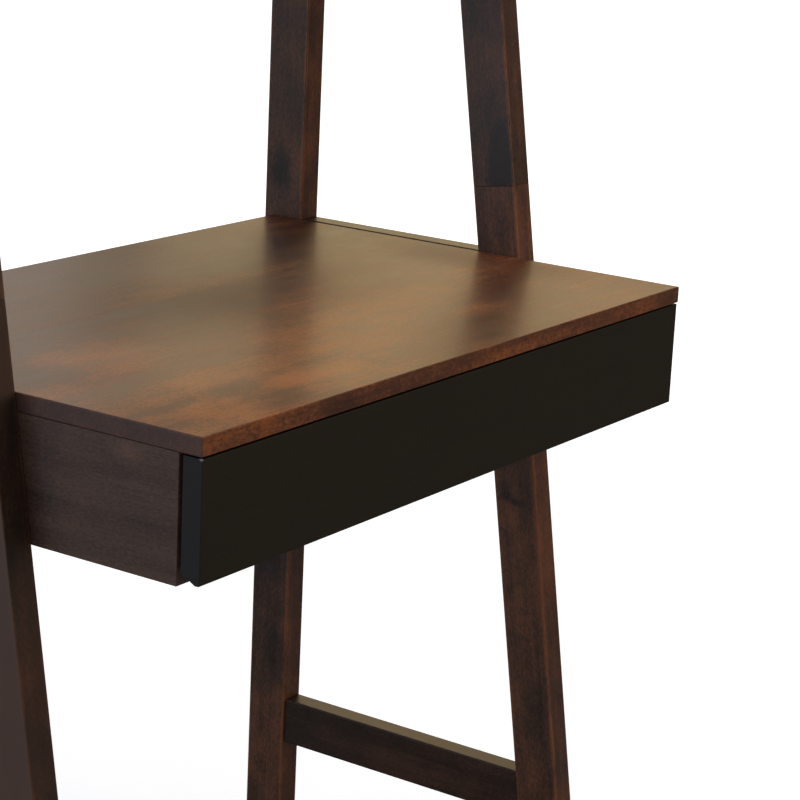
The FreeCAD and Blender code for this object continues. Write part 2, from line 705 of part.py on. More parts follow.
def drawer_runner():
    """Bent rail on the drawer side, which wraps under it and rides on the front roller."""
    box = BOX_OUTER_X
    outer = DRAWER_WEB_X
    front = BOX_FRONT_Y + RUNNER_SHEET
    wrap_z = BOX_BOTTOM_Z - RUNNER_SHEET
    flange_x = CASE_INNER_X - RUNNER_SHEET - ROLLER_CLEAR * 10
    flange_top = RIDE_FLANGE_Z + RUNNER_SHEET
    web = block(box, outer, front, RUNNER_BACK_Y, wrap_z, flange_top)
    wrap = block(BOX_INNER_X, outer, front, RUNNER_BACK_Y, wrap_z, BOX_BOTTOM_Z)
    flange = block(box, flange_x, front, RUNNER_BACK_Y, RIDE_FLANGE_Z, flange_top)
    shape = web.fuse([wrap, flange]).removeSplitter()
    shape = round_bends(shape, OUTER_BEND, [(outer, wrap_z), (box, flange_top)])
    shape = round_bends(shape, RUNNER_BEND, [(box, BOX_BOTTOM_Z), (outer, RIDE_FLANGE_Z)])
    flange_back_y = REAR_ROLLER_Y - REAR_ROLLER_R - RUNNER_SHEET
    room = block(box, flange_x, flange_back_y, RUNNER_BACK_Y, flange_top - OUTER_BEND, flange_top)
    pin_hole = rod(PIN_R, Vector(box, REAR_ROLLER_Y, REAR_ROLLER_Z), X_AXIS, RUNNER_SHEET)
    return without(shape, [room, pin_hole] + drawer_runner_screws())


def roller_x():
    """Middle of every roller's width, between the two webs."""
    return (CASE_INNER_X - RUNNER_SHEET + DRAWER_WEB_X) / 2


def roller(radius, y, z):
    """A nylon roller: a tyre with rounded shoulders, dished sides and a bored hub."""
    half = ROLLER_WIDTH / 2
    start = Vector(roller_x() - half, y, z)
    wheel = rod(radius, start, X_AXIS, ROLLER_WIDTH)
    wheel = wheel.makeFillet(ROLLER_HUB_RISE, wheel.Edges)
    dish_outer = radius * 0.8
    dish_inner = PIN_HEAD_R + ROLLER_HUB_RISE
    dishes = []
    for x in (roller_x() - half, roller_x() + half - ROLLER_HUB_RISE):
        ring = rod(dish_outer, Vector(x, y, z), X_AXIS, ROLLER_HUB_RISE)
        dishes.append(ring.cut(rod(dish_inner, Vector(x, y, z), X_AXIS, ROLLER_HUB_RISE)))
    bore = rod(PIN_R + PIN_PLAY, start, X_AXIS, ROLLER_WIDTH)
    return wheel.cut(dishes + [bore])


def case_pin():
    """Rivet that carries the front roller, from the case runner's web."""
    head_x = roller_x() - ROLLER_WIDTH / 2 - PIN_PLAY - PIN_HEAD_THICK
    start = Vector(CASE_INNER_X, FRONT_ROLLER_Y, FRONT_ROLLER_Z)
    shaft = rod(PIN_R, start, X_AXIS * -1, CASE_INNER_X - head_x)
    head = rod(PIN_HEAD_R, Vector(head_x, FRONT_ROLLER_Y, FRONT_ROLLER_Z), X_AXIS, PIN_HEAD_THICK)
    return shaft.fuse(head)


def drawer_pin():
    """Rivet that carries the rear roller, from the drawer runner's web."""
    head_x = roller_x() + ROLLER_WIDTH / 2 + PIN_PLAY
    start = Vector(BOX_OUTER_X, REAR_ROLLER_Y, REAR_ROLLER_Z)
    shaft = rod(PIN_R, start, X_AXIS, head_x + PIN_HEAD_THICK - BOX_OUTER_X)
    head = rod(PIN_HEAD_R, Vector(head_x, REAR_ROLLER_Y, REAR_ROLLER_Z), X_AXIS, PIN_HEAD_THICK)
    return shaft.fuse(head)


# ---------------------------------------------------------------- fasteners

def hex_socket(start, direction):
    """A six-sided key socket at the middle of a bolt's head."""
    corner_r = BOLT_HEX / math.sqrt(3)
    corners = []
    for i in range(6):
        turn = math.radians(60 * i)
        corners.append(start + Y_AXIS * (corner_r * math.cos(turn)) + Z_AXIS * (corner_r * math.sin(turn)))
    outline = Part.makePolygon(corners + corners[:1])
    return Part.Face(outline).extrude(direction * BOLT_HEX_DEPTH)


def furniture_bolt(y, z):
    """Flat-headed bolt from inside a case side or cleat into the right post."""
    seat = Vector(CASE_INNER_X, y, z)
    head = rod(BOLT_HEAD_R, seat - X_AXIS * BOLT_HEAD_THICK, X_AXIS, BOLT_HEAD_THICK)
    rim = [e for e in head.Edges if e.BoundBox.XMax < CASE_INNER_X - BOLT_HEAD_THICK / 2
           and e.BoundBox.XLength < 1e-6]
    head = head.makeFillet(BOLT_HEAD_THICK / 2, rim)
    shank_length = POST_INNER_X - CASE_INNER_X + BOLT_IN_POST
    shank = rod(BOLT_R, seat, X_AXIS, shank_length)
    return head.fuse(shank).cut(hex_socket(seat - X_AXIS * BOLT_HEAD_THICK, X_AXIS))


def insert_nut(y, z):
    """Threaded insert in the post, round the bolt."""
    start = Vector(POST_INNER_X, y, z)
    body = rod(INSERT_R, start, X_AXIS, INSERT_LENGTH)
    return body.cut(rod(BOLT_R + PIN_PLAY, start, X_AXIS, INSERT_LENGTH))


def flush_screw(start, direction):
    """Countersunk screw whose head ends flush with the face of the sheet that it holds."""
    head = Part.makeCone(SCREW_HEAD_R, SCREW_R, RUNNER_SHEET, start, direction)
    return head.fuse(rod(SCREW_R, start + direction * RUNNER_SHEET, direction, SCREW_LENGTH))


def case_runner_screws():
    x = CASE_INNER_X - RUNNER_SHEET
    return [flush_screw(Vector(x, y, runner_screw_z()), X_AXIS) for y in runner_screw_ys()]


def drawer_runner_screws():
    return [flush_screw(Vector(DRAWER_WEB_X, y, runner_screw_z()), X_AXIS * -1)
            for y in runner_screw_ys()]


def drawer_front_screw(x, z):
    """Pan-headed screw from inside the box into the black front."""
    seat = Vector(x, BOX_FRONT_Y + BOX_THICK, z)
    head = rod(FRONT_SCREW_HEAD_R, seat, Y_AXIS, FRONT_SCREW_HEAD_THICK)
    rim = [e for e in head.Edges if e.BoundBox.YMin > seat.y + FRONT_SCREW_HEAD_THICK / 2]
    head = head.makeFillet(FRONT_SCREW_HEAD_THICK / 2, rim)
    return head.fuse(rod(FRONT_SCREW_R, seat, Y_AXIS * -1, FRONT_SCREW_LENGTH))


# ---------------------------------------------------------------- assembly

def both_sides(shapes):
    """Each shape made for the right side, with its mirror image."""
    return [mirrored(shape, side) for shape in shapes for side in (LEFT, RIGHT)]


def build():
    """All nodes, each as a list of solids."""
    nodes = {}
    right_pieces = dict(side_frame())
    right_pieces["case_side"] = case_side()
    right_pieces["drawer_side"] = drawer_side()
    right_pieces["case_runner"] = case_runner()
    right_pieces["drawer_runner"] = drawer_runner()
    right_pieces["front_roller"] = roller(FRONT_ROLLER_R, FRONT_ROLLER_Y, FRONT_ROLLER_Z)
    right_pieces["rear_roller"] = roller(REAR_ROLLER_R, REAR_ROLLER_Y, REAR_ROLLER_Z)
    for name, shape in right_pieces.items():
        for side, side_name in SIDE_NAMES.items():
            nodes[name + "_" + side_name] = [mirrored(shape, side)]
    nodes["desktop"] = [desktop()]
    nodes["case_back"] = [case_back()]
    nodes["case_batten"] = [case_batten()]
    for name, top in zip(SHELF_NAMES, SHELF_TOPS):
        nodes.update(shelf(name, top))
    nodes["drawer_front"] = [drawer_front()]
    nodes["drawer_box_front"] = [drawer_box_front()]
    nodes["drawer_box_back"] = [drawer_end(BOX_BACK_Y - BOX_THICK)]
    nodes["drawer_bottom"] = [panel_block(0.0)]
    nodes["floor_glides"] = both_sides([glide(foot) for foot in glide_sites()])
    nodes["splice_dowels"] = both_sides(splice_rods(DOWEL_R, SPLICE_DOWEL_LENGTH))
    board_sites = case_dowel_sites()
    for top in SHELF_TOPS:
        board_sites = board_sites + shelf_dowel_sites(top)
    nodes["board_dowels"] = dowels(board_sites)
    nodes["furniture_bolts"] = both_sides([furniture_bolt(y, z) for y, z in bolt_sites()])
    nodes["insert_nuts"] = both_sides([insert_nut(y, z) for y, z in bolt_sites()])
    nodes["front_roller_pins"] = both_sides([case_pin()])
    nodes["rear_roller_pins"] = both_sides([drawer_pin()])
    nodes["case_runner_screws"] = both_sides(case_runner_screws())
    nodes["drawer_runner_screws"] = both_sides(drawer_runner_screws())
    nodes["drawer_front_screws"] = [drawer_front_screw(x, z) for x, z in front_screw_sites()]
    return nodes


def export(nodes):
    """Writes one STEP file per node."""
    os.makedirs("parts", exist_ok=True)
    for name, shapes in nodes.items():
        solids = [solid for shape in shapes for solid in shape.Solids]
        Part.makeCompound(solids).exportStep("parts/" + name + ".step")
        print(name, len(solids), "solids", all(solid.isValid() for solid in solids))


export(build())
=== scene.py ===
# %% [markdown]
# # A ladder desk
#
# Two ladder-shaped side frames carry a shallow desk case with one wide drawer, and three
# shelves above it. Every wooden piece, runner and fastener is already a solid of the right
# size. This lesson gives them their finishes, adds the small hardware whose shape shows when
# the drawer is open, and lights the whole like a catalogue picture.
#
# All sizes are in metres. X runs to the right, Y to the back and Z up.

# %% Load the frame
import math

import bmesh
import bpy
from mathutils import Matrix, Vector


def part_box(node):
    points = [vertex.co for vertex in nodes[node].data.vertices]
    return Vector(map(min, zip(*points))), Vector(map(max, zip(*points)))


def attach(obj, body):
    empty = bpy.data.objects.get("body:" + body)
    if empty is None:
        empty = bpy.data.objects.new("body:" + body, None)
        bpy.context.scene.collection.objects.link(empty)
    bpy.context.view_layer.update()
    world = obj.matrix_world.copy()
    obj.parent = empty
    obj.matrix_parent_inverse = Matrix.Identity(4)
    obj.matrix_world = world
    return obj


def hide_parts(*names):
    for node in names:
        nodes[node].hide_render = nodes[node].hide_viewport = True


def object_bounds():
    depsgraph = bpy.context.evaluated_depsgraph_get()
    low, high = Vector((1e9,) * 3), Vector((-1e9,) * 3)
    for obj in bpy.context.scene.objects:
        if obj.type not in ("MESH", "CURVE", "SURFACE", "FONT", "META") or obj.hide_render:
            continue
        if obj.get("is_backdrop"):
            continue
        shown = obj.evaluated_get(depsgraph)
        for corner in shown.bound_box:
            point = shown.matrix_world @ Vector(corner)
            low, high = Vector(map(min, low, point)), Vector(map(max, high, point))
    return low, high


MM = 0.001
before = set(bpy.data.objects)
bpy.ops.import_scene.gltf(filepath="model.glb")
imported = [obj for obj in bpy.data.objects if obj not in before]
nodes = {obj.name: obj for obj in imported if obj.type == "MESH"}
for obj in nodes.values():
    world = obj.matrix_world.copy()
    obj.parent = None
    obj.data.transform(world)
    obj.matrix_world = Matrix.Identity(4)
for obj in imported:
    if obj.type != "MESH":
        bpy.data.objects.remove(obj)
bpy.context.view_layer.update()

# %% [markdown]
# ## The camera
#
# A long lens, half a metre above the desktop and off its front left corner, keeps the edges
# of the case nearly parallel. Three turns describe how the camera is held: yaw round the
# vertical, pitch below the horizon, and a slight roll. The camera's matrix is built from
# them, because that is easier to read than three Euler angles.

# %% Camera
CAMERA_PLACE = Vector((-1.7318, -1.34355, 1.2597))
CAMERA_YAW = math.radians(56.188)
CAMERA_PITCH = math.radians(-14.933)
CAMERA_ROLL = math.radians(2.709)
CAMERA_LENS = 108.87       # millimetres on a 36 mm wide sensor


def camera_matrix(place, yaw, pitch, roll):
    """World matrix of a camera that looks along a yaw and a pitch, then rolls."""
    level_share = math.cos(pitch)
    ahead = Vector((math.sin(yaw) * level_share, math.cos(yaw) * level_share, math.sin(pitch)))
    level = ahead.cross(Vector((0, 0, 1))).normalized()
    rise = level.cross(ahead)
    right = level * math.cos(roll) + rise * math.sin(roll)
    up = rise * math.cos(roll) - level * math.sin(roll)
    turn = Matrix((right, up, -ahead)).transposed()
    return Matrix.Translation(place) @ turn.to_4x4()


camera = bpy.data.objects.new("camera", bpy.data.cameras.new("camera"))
camera.data.sensor_width = 36.0
camera.data.lens = CAMERA_LENS
camera.matrix_world = camera_matrix(CAMERA_PLACE, CAMERA_YAW, CAMERA_PITCH, CAMERA_ROLL)
bpy.context.scene.collection.objects.link(camera)
bpy.context.scene.camera = camera

# %% [markdown]
# ## Writing node trees as sums
#
# A wood finish is mostly arithmetic on noise: stretch it, cut it off, add it up. The thread
# of a screw is arithmetic too, on an angle and a length. `Value` wraps the output of a node
# so that `a * 0.5 + b` adds the Math nodes by itself, in a material and in Geometry Nodes
# alike. `NodeTree` makes any other node from its type, its settings and what goes into its
# sockets.

# %% Values and trees
class Value:
    """The output of a node, with arithmetic."""

    def __init__(self, owner, socket):
        self.owner = owner
        self.socket = socket

    def maths(self, operation, *values):
        inputs = dict(enumerate(values))
        return self.owner.add("ShaderNodeMath", {"operation": operation}, inputs)

    def __add__(self, other):
        return self.maths("ADD", self, other)

    def __sub__(self, other):
        return self.maths("SUBTRACT", self, other)

    def __mul__(self, other):
        return self.maths("MULTIPLY", self, other)

    def __truediv__(self, other):
        return self.maths("DIVIDE", self, other)

    def __rsub__(self, other):
        return self.maths("SUBTRACT", other, self)

    __radd__ = __add__

    def ramp(self, low, high):
        """0 below low, 1 above high, and smooth between."""
        settings = {"interpolation_type": "SMOOTHSTEP"}
        inputs = {"Value": self, "From Min": low, "From Max": high}
        return self.owner.add("ShaderNodeMapRange", settings, inputs)


class NodeTree:
    """Adds nodes to a tree and feeds their sockets."""

    def __init__(self, tree):
        self.tree = tree

    def add(self, kind, settings, inputs, output=0):
        node = self.tree.nodes.new(kind)
        for key, value in settings.items():
            if key == "stops":
                self.set_stops(node.color_ramp, value)
            else:
                setattr(node, key, value)
        for key, value in inputs.items():
            self.feed(node.inputs[key], value)
        return Value(self, node.outputs[output])

    def feed(self, socket, value):
        if isinstance(value, Value):
            self.tree.links.new(value.socket, socket)
        else:
            socket.default_value = value

    def axes(self, vector):
        """X, Y and Z of a vector."""
        split = self.add("ShaderNodeSeparateXYZ", {}, {0: vector})
        return [Value(self, split.socket.node.outputs[axis]) for axis in range(3)]

    def set_stops(self, ramp, stops):
        while len(ramp.elements) < len(stops):
            ramp.elements.new(1.0)
        for element, (position, colour) in zip(ramp.elements, stops):
            element.position = position
            element.color = (*colour, 1.0)


# %% [markdown]
# ## A material
#
# `Finish` holds one material. Its methods are the few things that every finish here is made
# from: noise, soft spots, masks for the end and outer faces, lighter corners that are partly
# worn and partly a painted highlight, colour mixes and bump. The corners need to know where the
# posts stand, how deep they are, and how far they lean back for each metre that they rise.

# %% Finishes
DESK_TOP = 0.762
POST_MIDDLE_X = 0.3905
POST_HALF_WIDE = 0.015
FRONT_POST = {"middle_y": -0.0465, "half_deep": 0.0253, "lean": 0.1498}
BACK_POST = {"middle_y": 0.2348, "half_deep": 0.0250, "lean": 0.0}
CORNER_WEAR_AND_HIGHLIGHT_START = 4 * MM            # how far from a corner the lighter band of wear and painted highlight starts
CORNER_WEAR_AND_HIGHLIGHT_FULL = 1 * MM       # how far from a corner that band is at full strength
FACE_MASK_FAINT = 1.4 * MM     # how far inside an end or outer face its mask starts
FACE_MASK_FULL = 0.4 * MM
RIM_GRAIN = 0.8            # how fine the ragged rim of a spot is


class Finish(NodeTree):
    """One material and the nodes in it."""

    def __init__(self, name):
        self.material = bpy.data.materials.new(name)
        self.material.use_nodes = True
        super().__init__(self.material.node_tree)
        self.surface = self.tree.nodes["Principled BSDF"]
        self.place = self.add("ShaderNodeTexCoord", {}, {}, "Object")

    def set(self, **inputs):
        """Feeds the surface: Base_Color for Base Color, and so on."""
        for key, value in inputs.items():
            self.feed(self.surface.inputs[key.replace("_", " ")], value)

    def scaled(self, place, sizes):
        """Coordinates multiplied along each axis."""
        return self.add("ShaderNodeVectorMath", {"operation": "MULTIPLY"}, {0: place, 1: sizes})

    def noise(self, place, scale=1.0, detail=3.0, roughness=0.5, distortion=0.0):
        inputs = {"Vector": place, "Scale": scale, "Detail": detail,
                  "Roughness": roughness, "Distortion": distortion}
        return self.add("ShaderNodeTexNoise", {}, inputs, "Fac")

    def blot(self, centre, radii, ragged=1.6):
        """A soft spot: 1 at its centre, 0 beyond its radii, with a ragged rim."""
        inputs = {0: self.place, 1: centre}
        away = self.add("ShaderNodeVectorMath", {"operation": "SUBTRACT"}, inputs)
        away = self.scaled(away, tuple(1 / radius for radius in radii))
        reach = self.add("ShaderNodeVectorMath", {"operation": "LENGTH"}, {0: away}, "Value")
        rim = self.noise(self.place, scale=RIM_GRAIN / min(radii), detail=4.0, roughness=0.65)
        return 1.0 - (reach + (rim - 0.5) * ragged).ramp(0.0, 1.0)

    def end_or_outer_faces(self, reach):
        """1 on the faces that lie this far out each way along X: the ends of a board, or the outer
        faces of the side frames.
        """
        x = self.axes(self.place)[0]
        return x.maths("ABSOLUTE", x).ramp(reach - FACE_MASK_FAINT, reach - FACE_MASK_FULL)

    def corner_wear_and_highlight(self, post):
        """1 along the four corners of the posts on both sides, 0 a few millimetres away; there the
        wood is worn and a highlight is painted.
        """
        x, y, z = self.axes(self.place)
        across = x.maths("ABSOLUTE", x) - POST_MIDDLE_X
        across = across.maths("ABSOLUTE", across)
        deep = y - post["middle_y"] - (z - DESK_TOP) * post["lean"]
        deep = deep.maths("ABSOLUTE", deep)
        half = post["half_deep"]
        near_side = across.ramp(POST_HALF_WIDE - CORNER_WEAR_AND_HIGHLIGHT_START, POST_HALF_WIDE - CORNER_WEAR_AND_HIGHLIGHT_FULL)
        return near_side * deep.ramp(half - CORNER_WEAR_AND_HIGHLIGHT_START, half - CORNER_WEAR_AND_HIGHLIGHT_FULL)

    def mix(self, way, factor, first, second):
        settings = {"data_type": "RGBA", "blend_type": way}
        inputs = {"Factor": factor, 6: self.colour(first), 7: self.colour(second)}
        return self.add("ShaderNodeMix", settings, inputs, 2)

    def blend(self, factor, first, second):
        """Colour mixed from first to second."""
        return self.mix("MIX", factor, first, second)

    def tint(self, factor, first, second):
        """First multiplied by second, by a factor."""
        return self.mix("MULTIPLY", factor, first, second)

    def colour(self, value):
        return value if isinstance(value, Value) else (*value, 1.0)

    def bump(self, height, distance, strength=0.5):
        inputs = {"Height": height, "Distance": distance, "Strength": strength}
        return self.add("ShaderNodeBump", {}, inputs)


def srgb(red, green, blue):
    """A colour given as it looks on a screen, 0 to 255, turned into light."""
    def light(value):
        value = value / 255
        return value / 12.92 if value <= 0.04045 else ((value + 0.055) / 1.055) ** 2.4
    return (light(red), light(green), light(blue))


# %% [markdown]
# ## Stained hardwood
#
# The frames and boards are a plain light hardwood under a dark walnut stain and a satin
# lacquer. Stain soaks in unevenly, so the colour drifts in soft patches, and the grain shows
# as long streaks with short dark pores. All of it is noise in three dimensions that is
# squeezed across the grain and stretched along it, so a board's faces, edges and ends all
# belong to the same piece of wood. The turn of the grain follows the lean of the posts.
#
# Seven layers of noise are enough, and every property of the surface is a sum of them by
# weight: the tone, the roughness, the lacquer and the relief. That keeps them together, as
# in real wood, where a dark pore is also a dip and a band of another tone shines differently.

# %% Layers of grain
ALONG_X = (0.0, math.radians(90), 0.0)
ALONG_Y = (math.radians(90), 0.0, 0.0)
ALONG_Z = (0.0, 0.0, 0.0)
FRONT_POST_LEAN = math.atan(0.15)
ALONG_FRONT_POST = (FRONT_POST_LEAN, 0.0, 0.0)

# scale across, across and along the grain; detail; roughness; distortion
GRAIN_LAYERS = {
    "drift": ((7.0, 7.0, 5.0), 3.0, 0.6, 0.4),
    "clouds": ((34.0, 34.0, 19.0), 3.0, 0.55, 0.3),
    "bands": ((46.0, 46.0, 3.0), 3.0, 0.6, 0.5),
    "streaks": ((260.0, 260.0, 12.0), 4.0, 0.65, 0.0),
    "flecks": ((520.0, 520.0, 240.0), 2.0, 0.6, 0.0),
    "pores": ((900.0, 900.0, 60.0), 2.0, 0.5, 0.0),
    "haze": ((60.0, 60.0, 60.0), 2.0, 0.5, 0.0),
}
SHIFT_SHARES = (1.0, 0.7, 1.3)


def grain_place(finish, turn, shift):
    """Coordinates with the grain along their own Z; the shift picks another part of the tree."""
    location = tuple(shift * share for share in SHIFT_SHARES)
    inputs = {"Vector": finish.place, "Rotation": turn, "Location": location}
    return finish.add("ShaderNodeMapping", {"vector_type": "POINT"}, inputs)


def grain_layers(finish, place):
    """Every layer of noise, by name."""
    return {name: finish.noise(finish.scaled(place, scales), 1.0, detail, roughness, distortion)
            for name, (scales, detail, roughness, distortion) in GRAIN_LAYERS.items()}


def weighed(layers, weights):
    """The sum of some layers by weight, each swinging about its middle."""
    return sum((layers[name] - 0.5) * weight for name, weight in weights.items())


# %% Stained wood
PATCH_WEIGHTS = {"drift": 0.7, "clouds": 0.55}
TONE_WEIGHTS = {"bands": 0.5, "streaks": 0.3, "flecks": 0.7}
ROUGH_WEIGHTS = {"bands": 0.22, "clouds": 0.10, "flecks": 0.14}
COAT_WEIGHTS = {"bands": 0.3}
RELIEF_WEIGHTS = {"streaks": 0.3, "haze": 0.25, "flecks": 0.4}
TONE_STOPS = (0.2, 0.5, 0.8)       # where a wood has its dark, middle and light colour
PORES_SHOW = (0.56, 0.70)
PORES_IN_STREAKS = (0.35, 0.60)
PORE_SHARE = 0.4
PORE_TINT = (0.30, 0.24, 0.20)
PORE_DEPTH = 0.5                   # against the rest of the relief
# How much lighter the post corners are, for wear and for a painted highlight on their rounded
# edges.
CORNER_WEAR_AND_HIGHLIGHT_LIGHTER = 0.45
OUTER_FACE = 0.4055                # half the distance across the side frames
# A greyish sheen painted on the outer faces of the left front post, as the cool light from the left
# gives them.
OUTER_SHEEN_TONE = srgb(86, 67, 61)
BOARD_END = 0.375                  # half the length of the desktop
# The end faces of the desktop: darker end grain, with the cool grey sheen of the light from the
# left painted in.
END_GRAIN_AND_SHEEN_TONE = srgb(58, 51, 55)
END_SHARE = 0.7
DULL_RAGGED = 0.4
WOOD_RELIEF = 0.12 * MM


def stained_wood(name, turn, tones, shift, patch=1.0, depth=0.0, gloss=0.44, coat=0.15,
                 blots=(), dull=(), post=None, ends=None, outer_sheen=0.0):
    """Dark stain on light wood: soft patches, streaks and pores under satin lacquer.

    patch is the strength of the patches and depth the darkness of the stain. gloss is the
    roughness and coat the lacquer. blots are spots of another tone, some of them painted shade,
    and dull are spots with less shine. post names the post whose corners are lighter, partly worn
    and partly a painted highlight, ends is how far the end faces of a board lie from the middle,
    where darker end grain and a painted cool sheen go, and the last argument is how much the
    outer faces are painted with the greyish sheen that the cool light from the left gives them.
    """
    wood = Finish(name)
    layers = grain_layers(wood, grain_place(wood, turn, shift))
    tone = weighed(layers, PATCH_WEIGHTS) * patch + weighed(layers, TONE_WEIGHTS)
    tone = tone + (0.5 - depth)
    for centre, radii, lighter in blots:
        tone = tone + wood.blot(centre, radii) * lighter
    # The post corners are lighter: partly wear, partly a painted highlight of the rounded edges.
    if post is not None:
        tone = tone + wood.corner_wear_and_highlight(post) * layers["clouds"] * CORNER_WEAR_AND_HIGHLIGHT_LIGHTER
    stops = list(zip(TONE_STOPS, tones))
    colour = wood.add("ShaderNodeValToRGB", {"stops": stops}, {"Fac": tone}, "Color")
    pores = layers["pores"].ramp(*PORES_SHOW) * layers["streaks"].ramp(*PORES_IN_STREAKS)
    colour = wood.tint(pores * PORE_SHARE, colour, PORE_TINT)
    # Painted light: the outer faces take the greyish sheen of the cool light from the left.
    if outer_sheen:
        colour = wood.blend(wood.end_or_outer_faces(OUTER_FACE) * outer_sheen, colour, OUTER_SHEEN_TONE)
    # End faces: darker end grain, with a painted cool grey sheen.
    if ends is not None:
        colour = wood.blend(wood.end_or_outer_faces(ends) * END_SHARE, colour, END_GRAIN_AND_SHEEN_TONE)
    rough = weighed(layers, ROUGH_WEIGHTS) + gloss
    coated = weighed(layers, COAT_WEIGHTS) + coat
    for centre, radii, duller in dull:
        spot = wood.blot(centre, radii, ragged=DULL_RAGGED) * duller
        rough = rough + spot
        coated = coated - spot
    relief = weighed(layers, RELIEF_WEIGHTS) - pores * PORE_DEPTH
    wood.set(Base_Color=colour, Roughness=rough, Coat_Weight=coated, Coat_Roughness=0.22,
             Specular_IOR_Level=0.45, Normal=wood.bump(relief, WOOD_RELIEF, strength=0.6))
    return wood.material


# %% [markdown]
# ## Four browns of walnut
#
# One can of stain gives different browns, because each board drinks it differently. The
# boards come out warm, the posts darker and the case greyer. The left front post and the rails
# take a darker copy, which paints the shade they stand in. What chance wouldn't put in the
# right spot has a place of its own: the pale patches on the desktop, the dark ends of the posts
# by their joints, a small knot, and painted shade by the right back post and round the case.

# %% Spots
# centre, radii, and how much lighter it is there: by the stain, or darker by painted shade
TOP_BLOTS = [
    ((-0.248, -0.045, 0.762), (0.100, 0.065, 0.07), 0.20),
    ((-0.308, -0.219, 0.762), (0.090, 0.050, 0.07), 0.22),
    ((-0.155, -0.219, 0.762), (0.090, 0.045, 0.07), 0.18),
    ((-0.030, -0.160, 0.762), (0.320, 0.120, 0.10), 0.16),
    # painted shade and a darker painted reflection beside the right back post
    ((0.160, 0.130, 0.762), (0.160, 0.090, 0.10), -0.15),
    ((0.011, 0.008, 0.762), (0.150, 0.070, 0.07), -0.22),
    ((-0.208, -0.205, 0.762), (0.060, 0.050, 0.07), 0.20),
    ((-0.180, -0.262, 0.752), (0.130, 0.012, 0.011), -0.16),    # front edge
    ((0.090, -0.262, 0.752), (0.130, 0.012, 0.011), 0.22),
]
UPPER_POST_BLOTS = [((0.3755, -0.042, 0.858), (0.03, 0.019, 0.046), -0.50)]
LOWER_POST_BLOTS = [
    ((0.3755, -0.068, 0.510), (0.012, 0.018, 0.016), -0.26),    # the knot
    ((0.3755, -0.0755, 0.5035), (0.010, 0.011, 0.007), -0.34),
    ((0.3755, -0.087, 0.4995), (0.010, 0.016, 0.006), -0.34),
    ((0.3755, -0.080, 0.484), (0.012, 0.020, 0.022), 0.20),
    ((0.3755, -0.110, 0.340), (0.012, 0.060, 0.160), 0.10),
]
SHADED_POST_BLOTS = [
    # painted shade just below the case
    ((-0.4055, -0.100, 0.610), (0.02, 0.060, 0.080), -0.16),
    ((-0.4055, -0.090, 0.725), (0.02, 0.060, 0.050), 0.10),
]
BACK_POST_BLOTS = [
    ((0.3755, 0.235, 0.808), (0.03, 0.020, 0.040), -0.35),
    # painted shade on the lower post, under the desk case
    ((0.39, 0.235, 0.430), (0.10, 0.10, 0.25), -0.30),
    ((0.3755, 0.225, 0.245), (0.03, 0.030, 0.040), -0.16),
    ((0.39, 0.235, 0.145), (0.05, 0.10, 0.080), 0.20),
]
CASE_BLOTS = [
    ((-0.375, -0.189, 0.737), (0.02, 0.024, 0.014), 0.30),
    # painted shade on the case side beside the left front post
    ((-0.375, -0.100, 0.700), (0.02, 0.040, 0.070), -0.16),
]
# centre, radii, and how much duller the lacquer is there
TOP_DULL = [
    ((0.020, 0.020, 0.762), (0.260, 0.150, 0.12), 0.07),
    ((-0.330, -0.225, 0.762), (0.170, 0.110, 0.12), 0.08),
    ((0.340, -0.060, 0.762), (0.090, 0.160, 0.12), 0.07),
]

# %% Walnut finishes
TOP_TONES = (srgb(50, 28, 18), srgb(88, 50, 28), srgb(146, 86, 40))
POST_TONES = (srgb(32, 26, 25), srgb(77, 51, 39), srgb(120, 75, 49))
# A darker copy of the post browns, which paints the shade on the left front post and the rails.
SHADED_TONES = (srgb(20, 14, 12), srgb(45, 29, 22), srgb(78, 48, 36))
CASE_TONES = (srgb(46, 37, 35), srgb(74, 56, 50), srgb(98, 72, 62))

finishes = {
    "top": stained_wood("walnut_top", ALONG_X, TOP_TONES, 0.9, patch=0.7, blots=TOP_BLOTS,
                        dull=TOP_DULL, ends=BOARD_END),
    "shelf": stained_wood("walnut_shelf", ALONG_X, TOP_TONES, 3.1),
    "case": stained_wood("walnut_case", ALONG_Y, CASE_TONES, 1.7, patch=0.45, blots=CASE_BLOTS),
    "case_long": stained_wood("walnut_case_long", ALONG_X, CASE_TONES, 5.2),
    "upper_post": stained_wood("walnut_upper_post", ALONG_FRONT_POST, POST_TONES, 0.4,
                               depth=0.14, blots=UPPER_POST_BLOTS, post=FRONT_POST),
    "lower_post": stained_wood("walnut_lower_post", ALONG_FRONT_POST, POST_TONES, 7.1,
                               blots=LOWER_POST_BLOTS, post=FRONT_POST),
    # The left front post and the rails take the darker copy, which paints their shade; the post's
    # outer faces also take a painted greyish sheen.
    "dark_post": stained_wood("walnut_dark_post", ALONG_FRONT_POST, SHADED_TONES, 1.4, depth=0.1,
                              blots=SHADED_POST_BLOTS, post=FRONT_POST, outer_sheen=0.8),
    "back_post": stained_wood("walnut_back_post", ALONG_Z, POST_TONES, 2.3, depth=-0.04,
                              blots=BACK_POST_BLOTS, post=BACK_POST),
    "rail": stained_wood("walnut_rail", ALONG_Y, SHADED_TONES, 4.6),
}
print("walnut:", ", ".join(finishes))

# %% [markdown]
# ## Black lacquer
#
# The drawer front is the same wood under a near-black stain. Hardly any grain is left, only
# a faint tooth in the lacquer that breaks up the reflections. Its ends carry a painted cool
# sheen of the light from the left, and one corner a small painted glint.

# %% Black front
BLACK_TONES = (srgb(10, 12, 8), srgb(33, 34, 25))
BLACK_END = 0.3737         # half the length of the black front
# a cool sheen painted on the ends, as the light from the left gives them
BLACK_END_SHEEN_TONE = srgb(36, 39, 48)
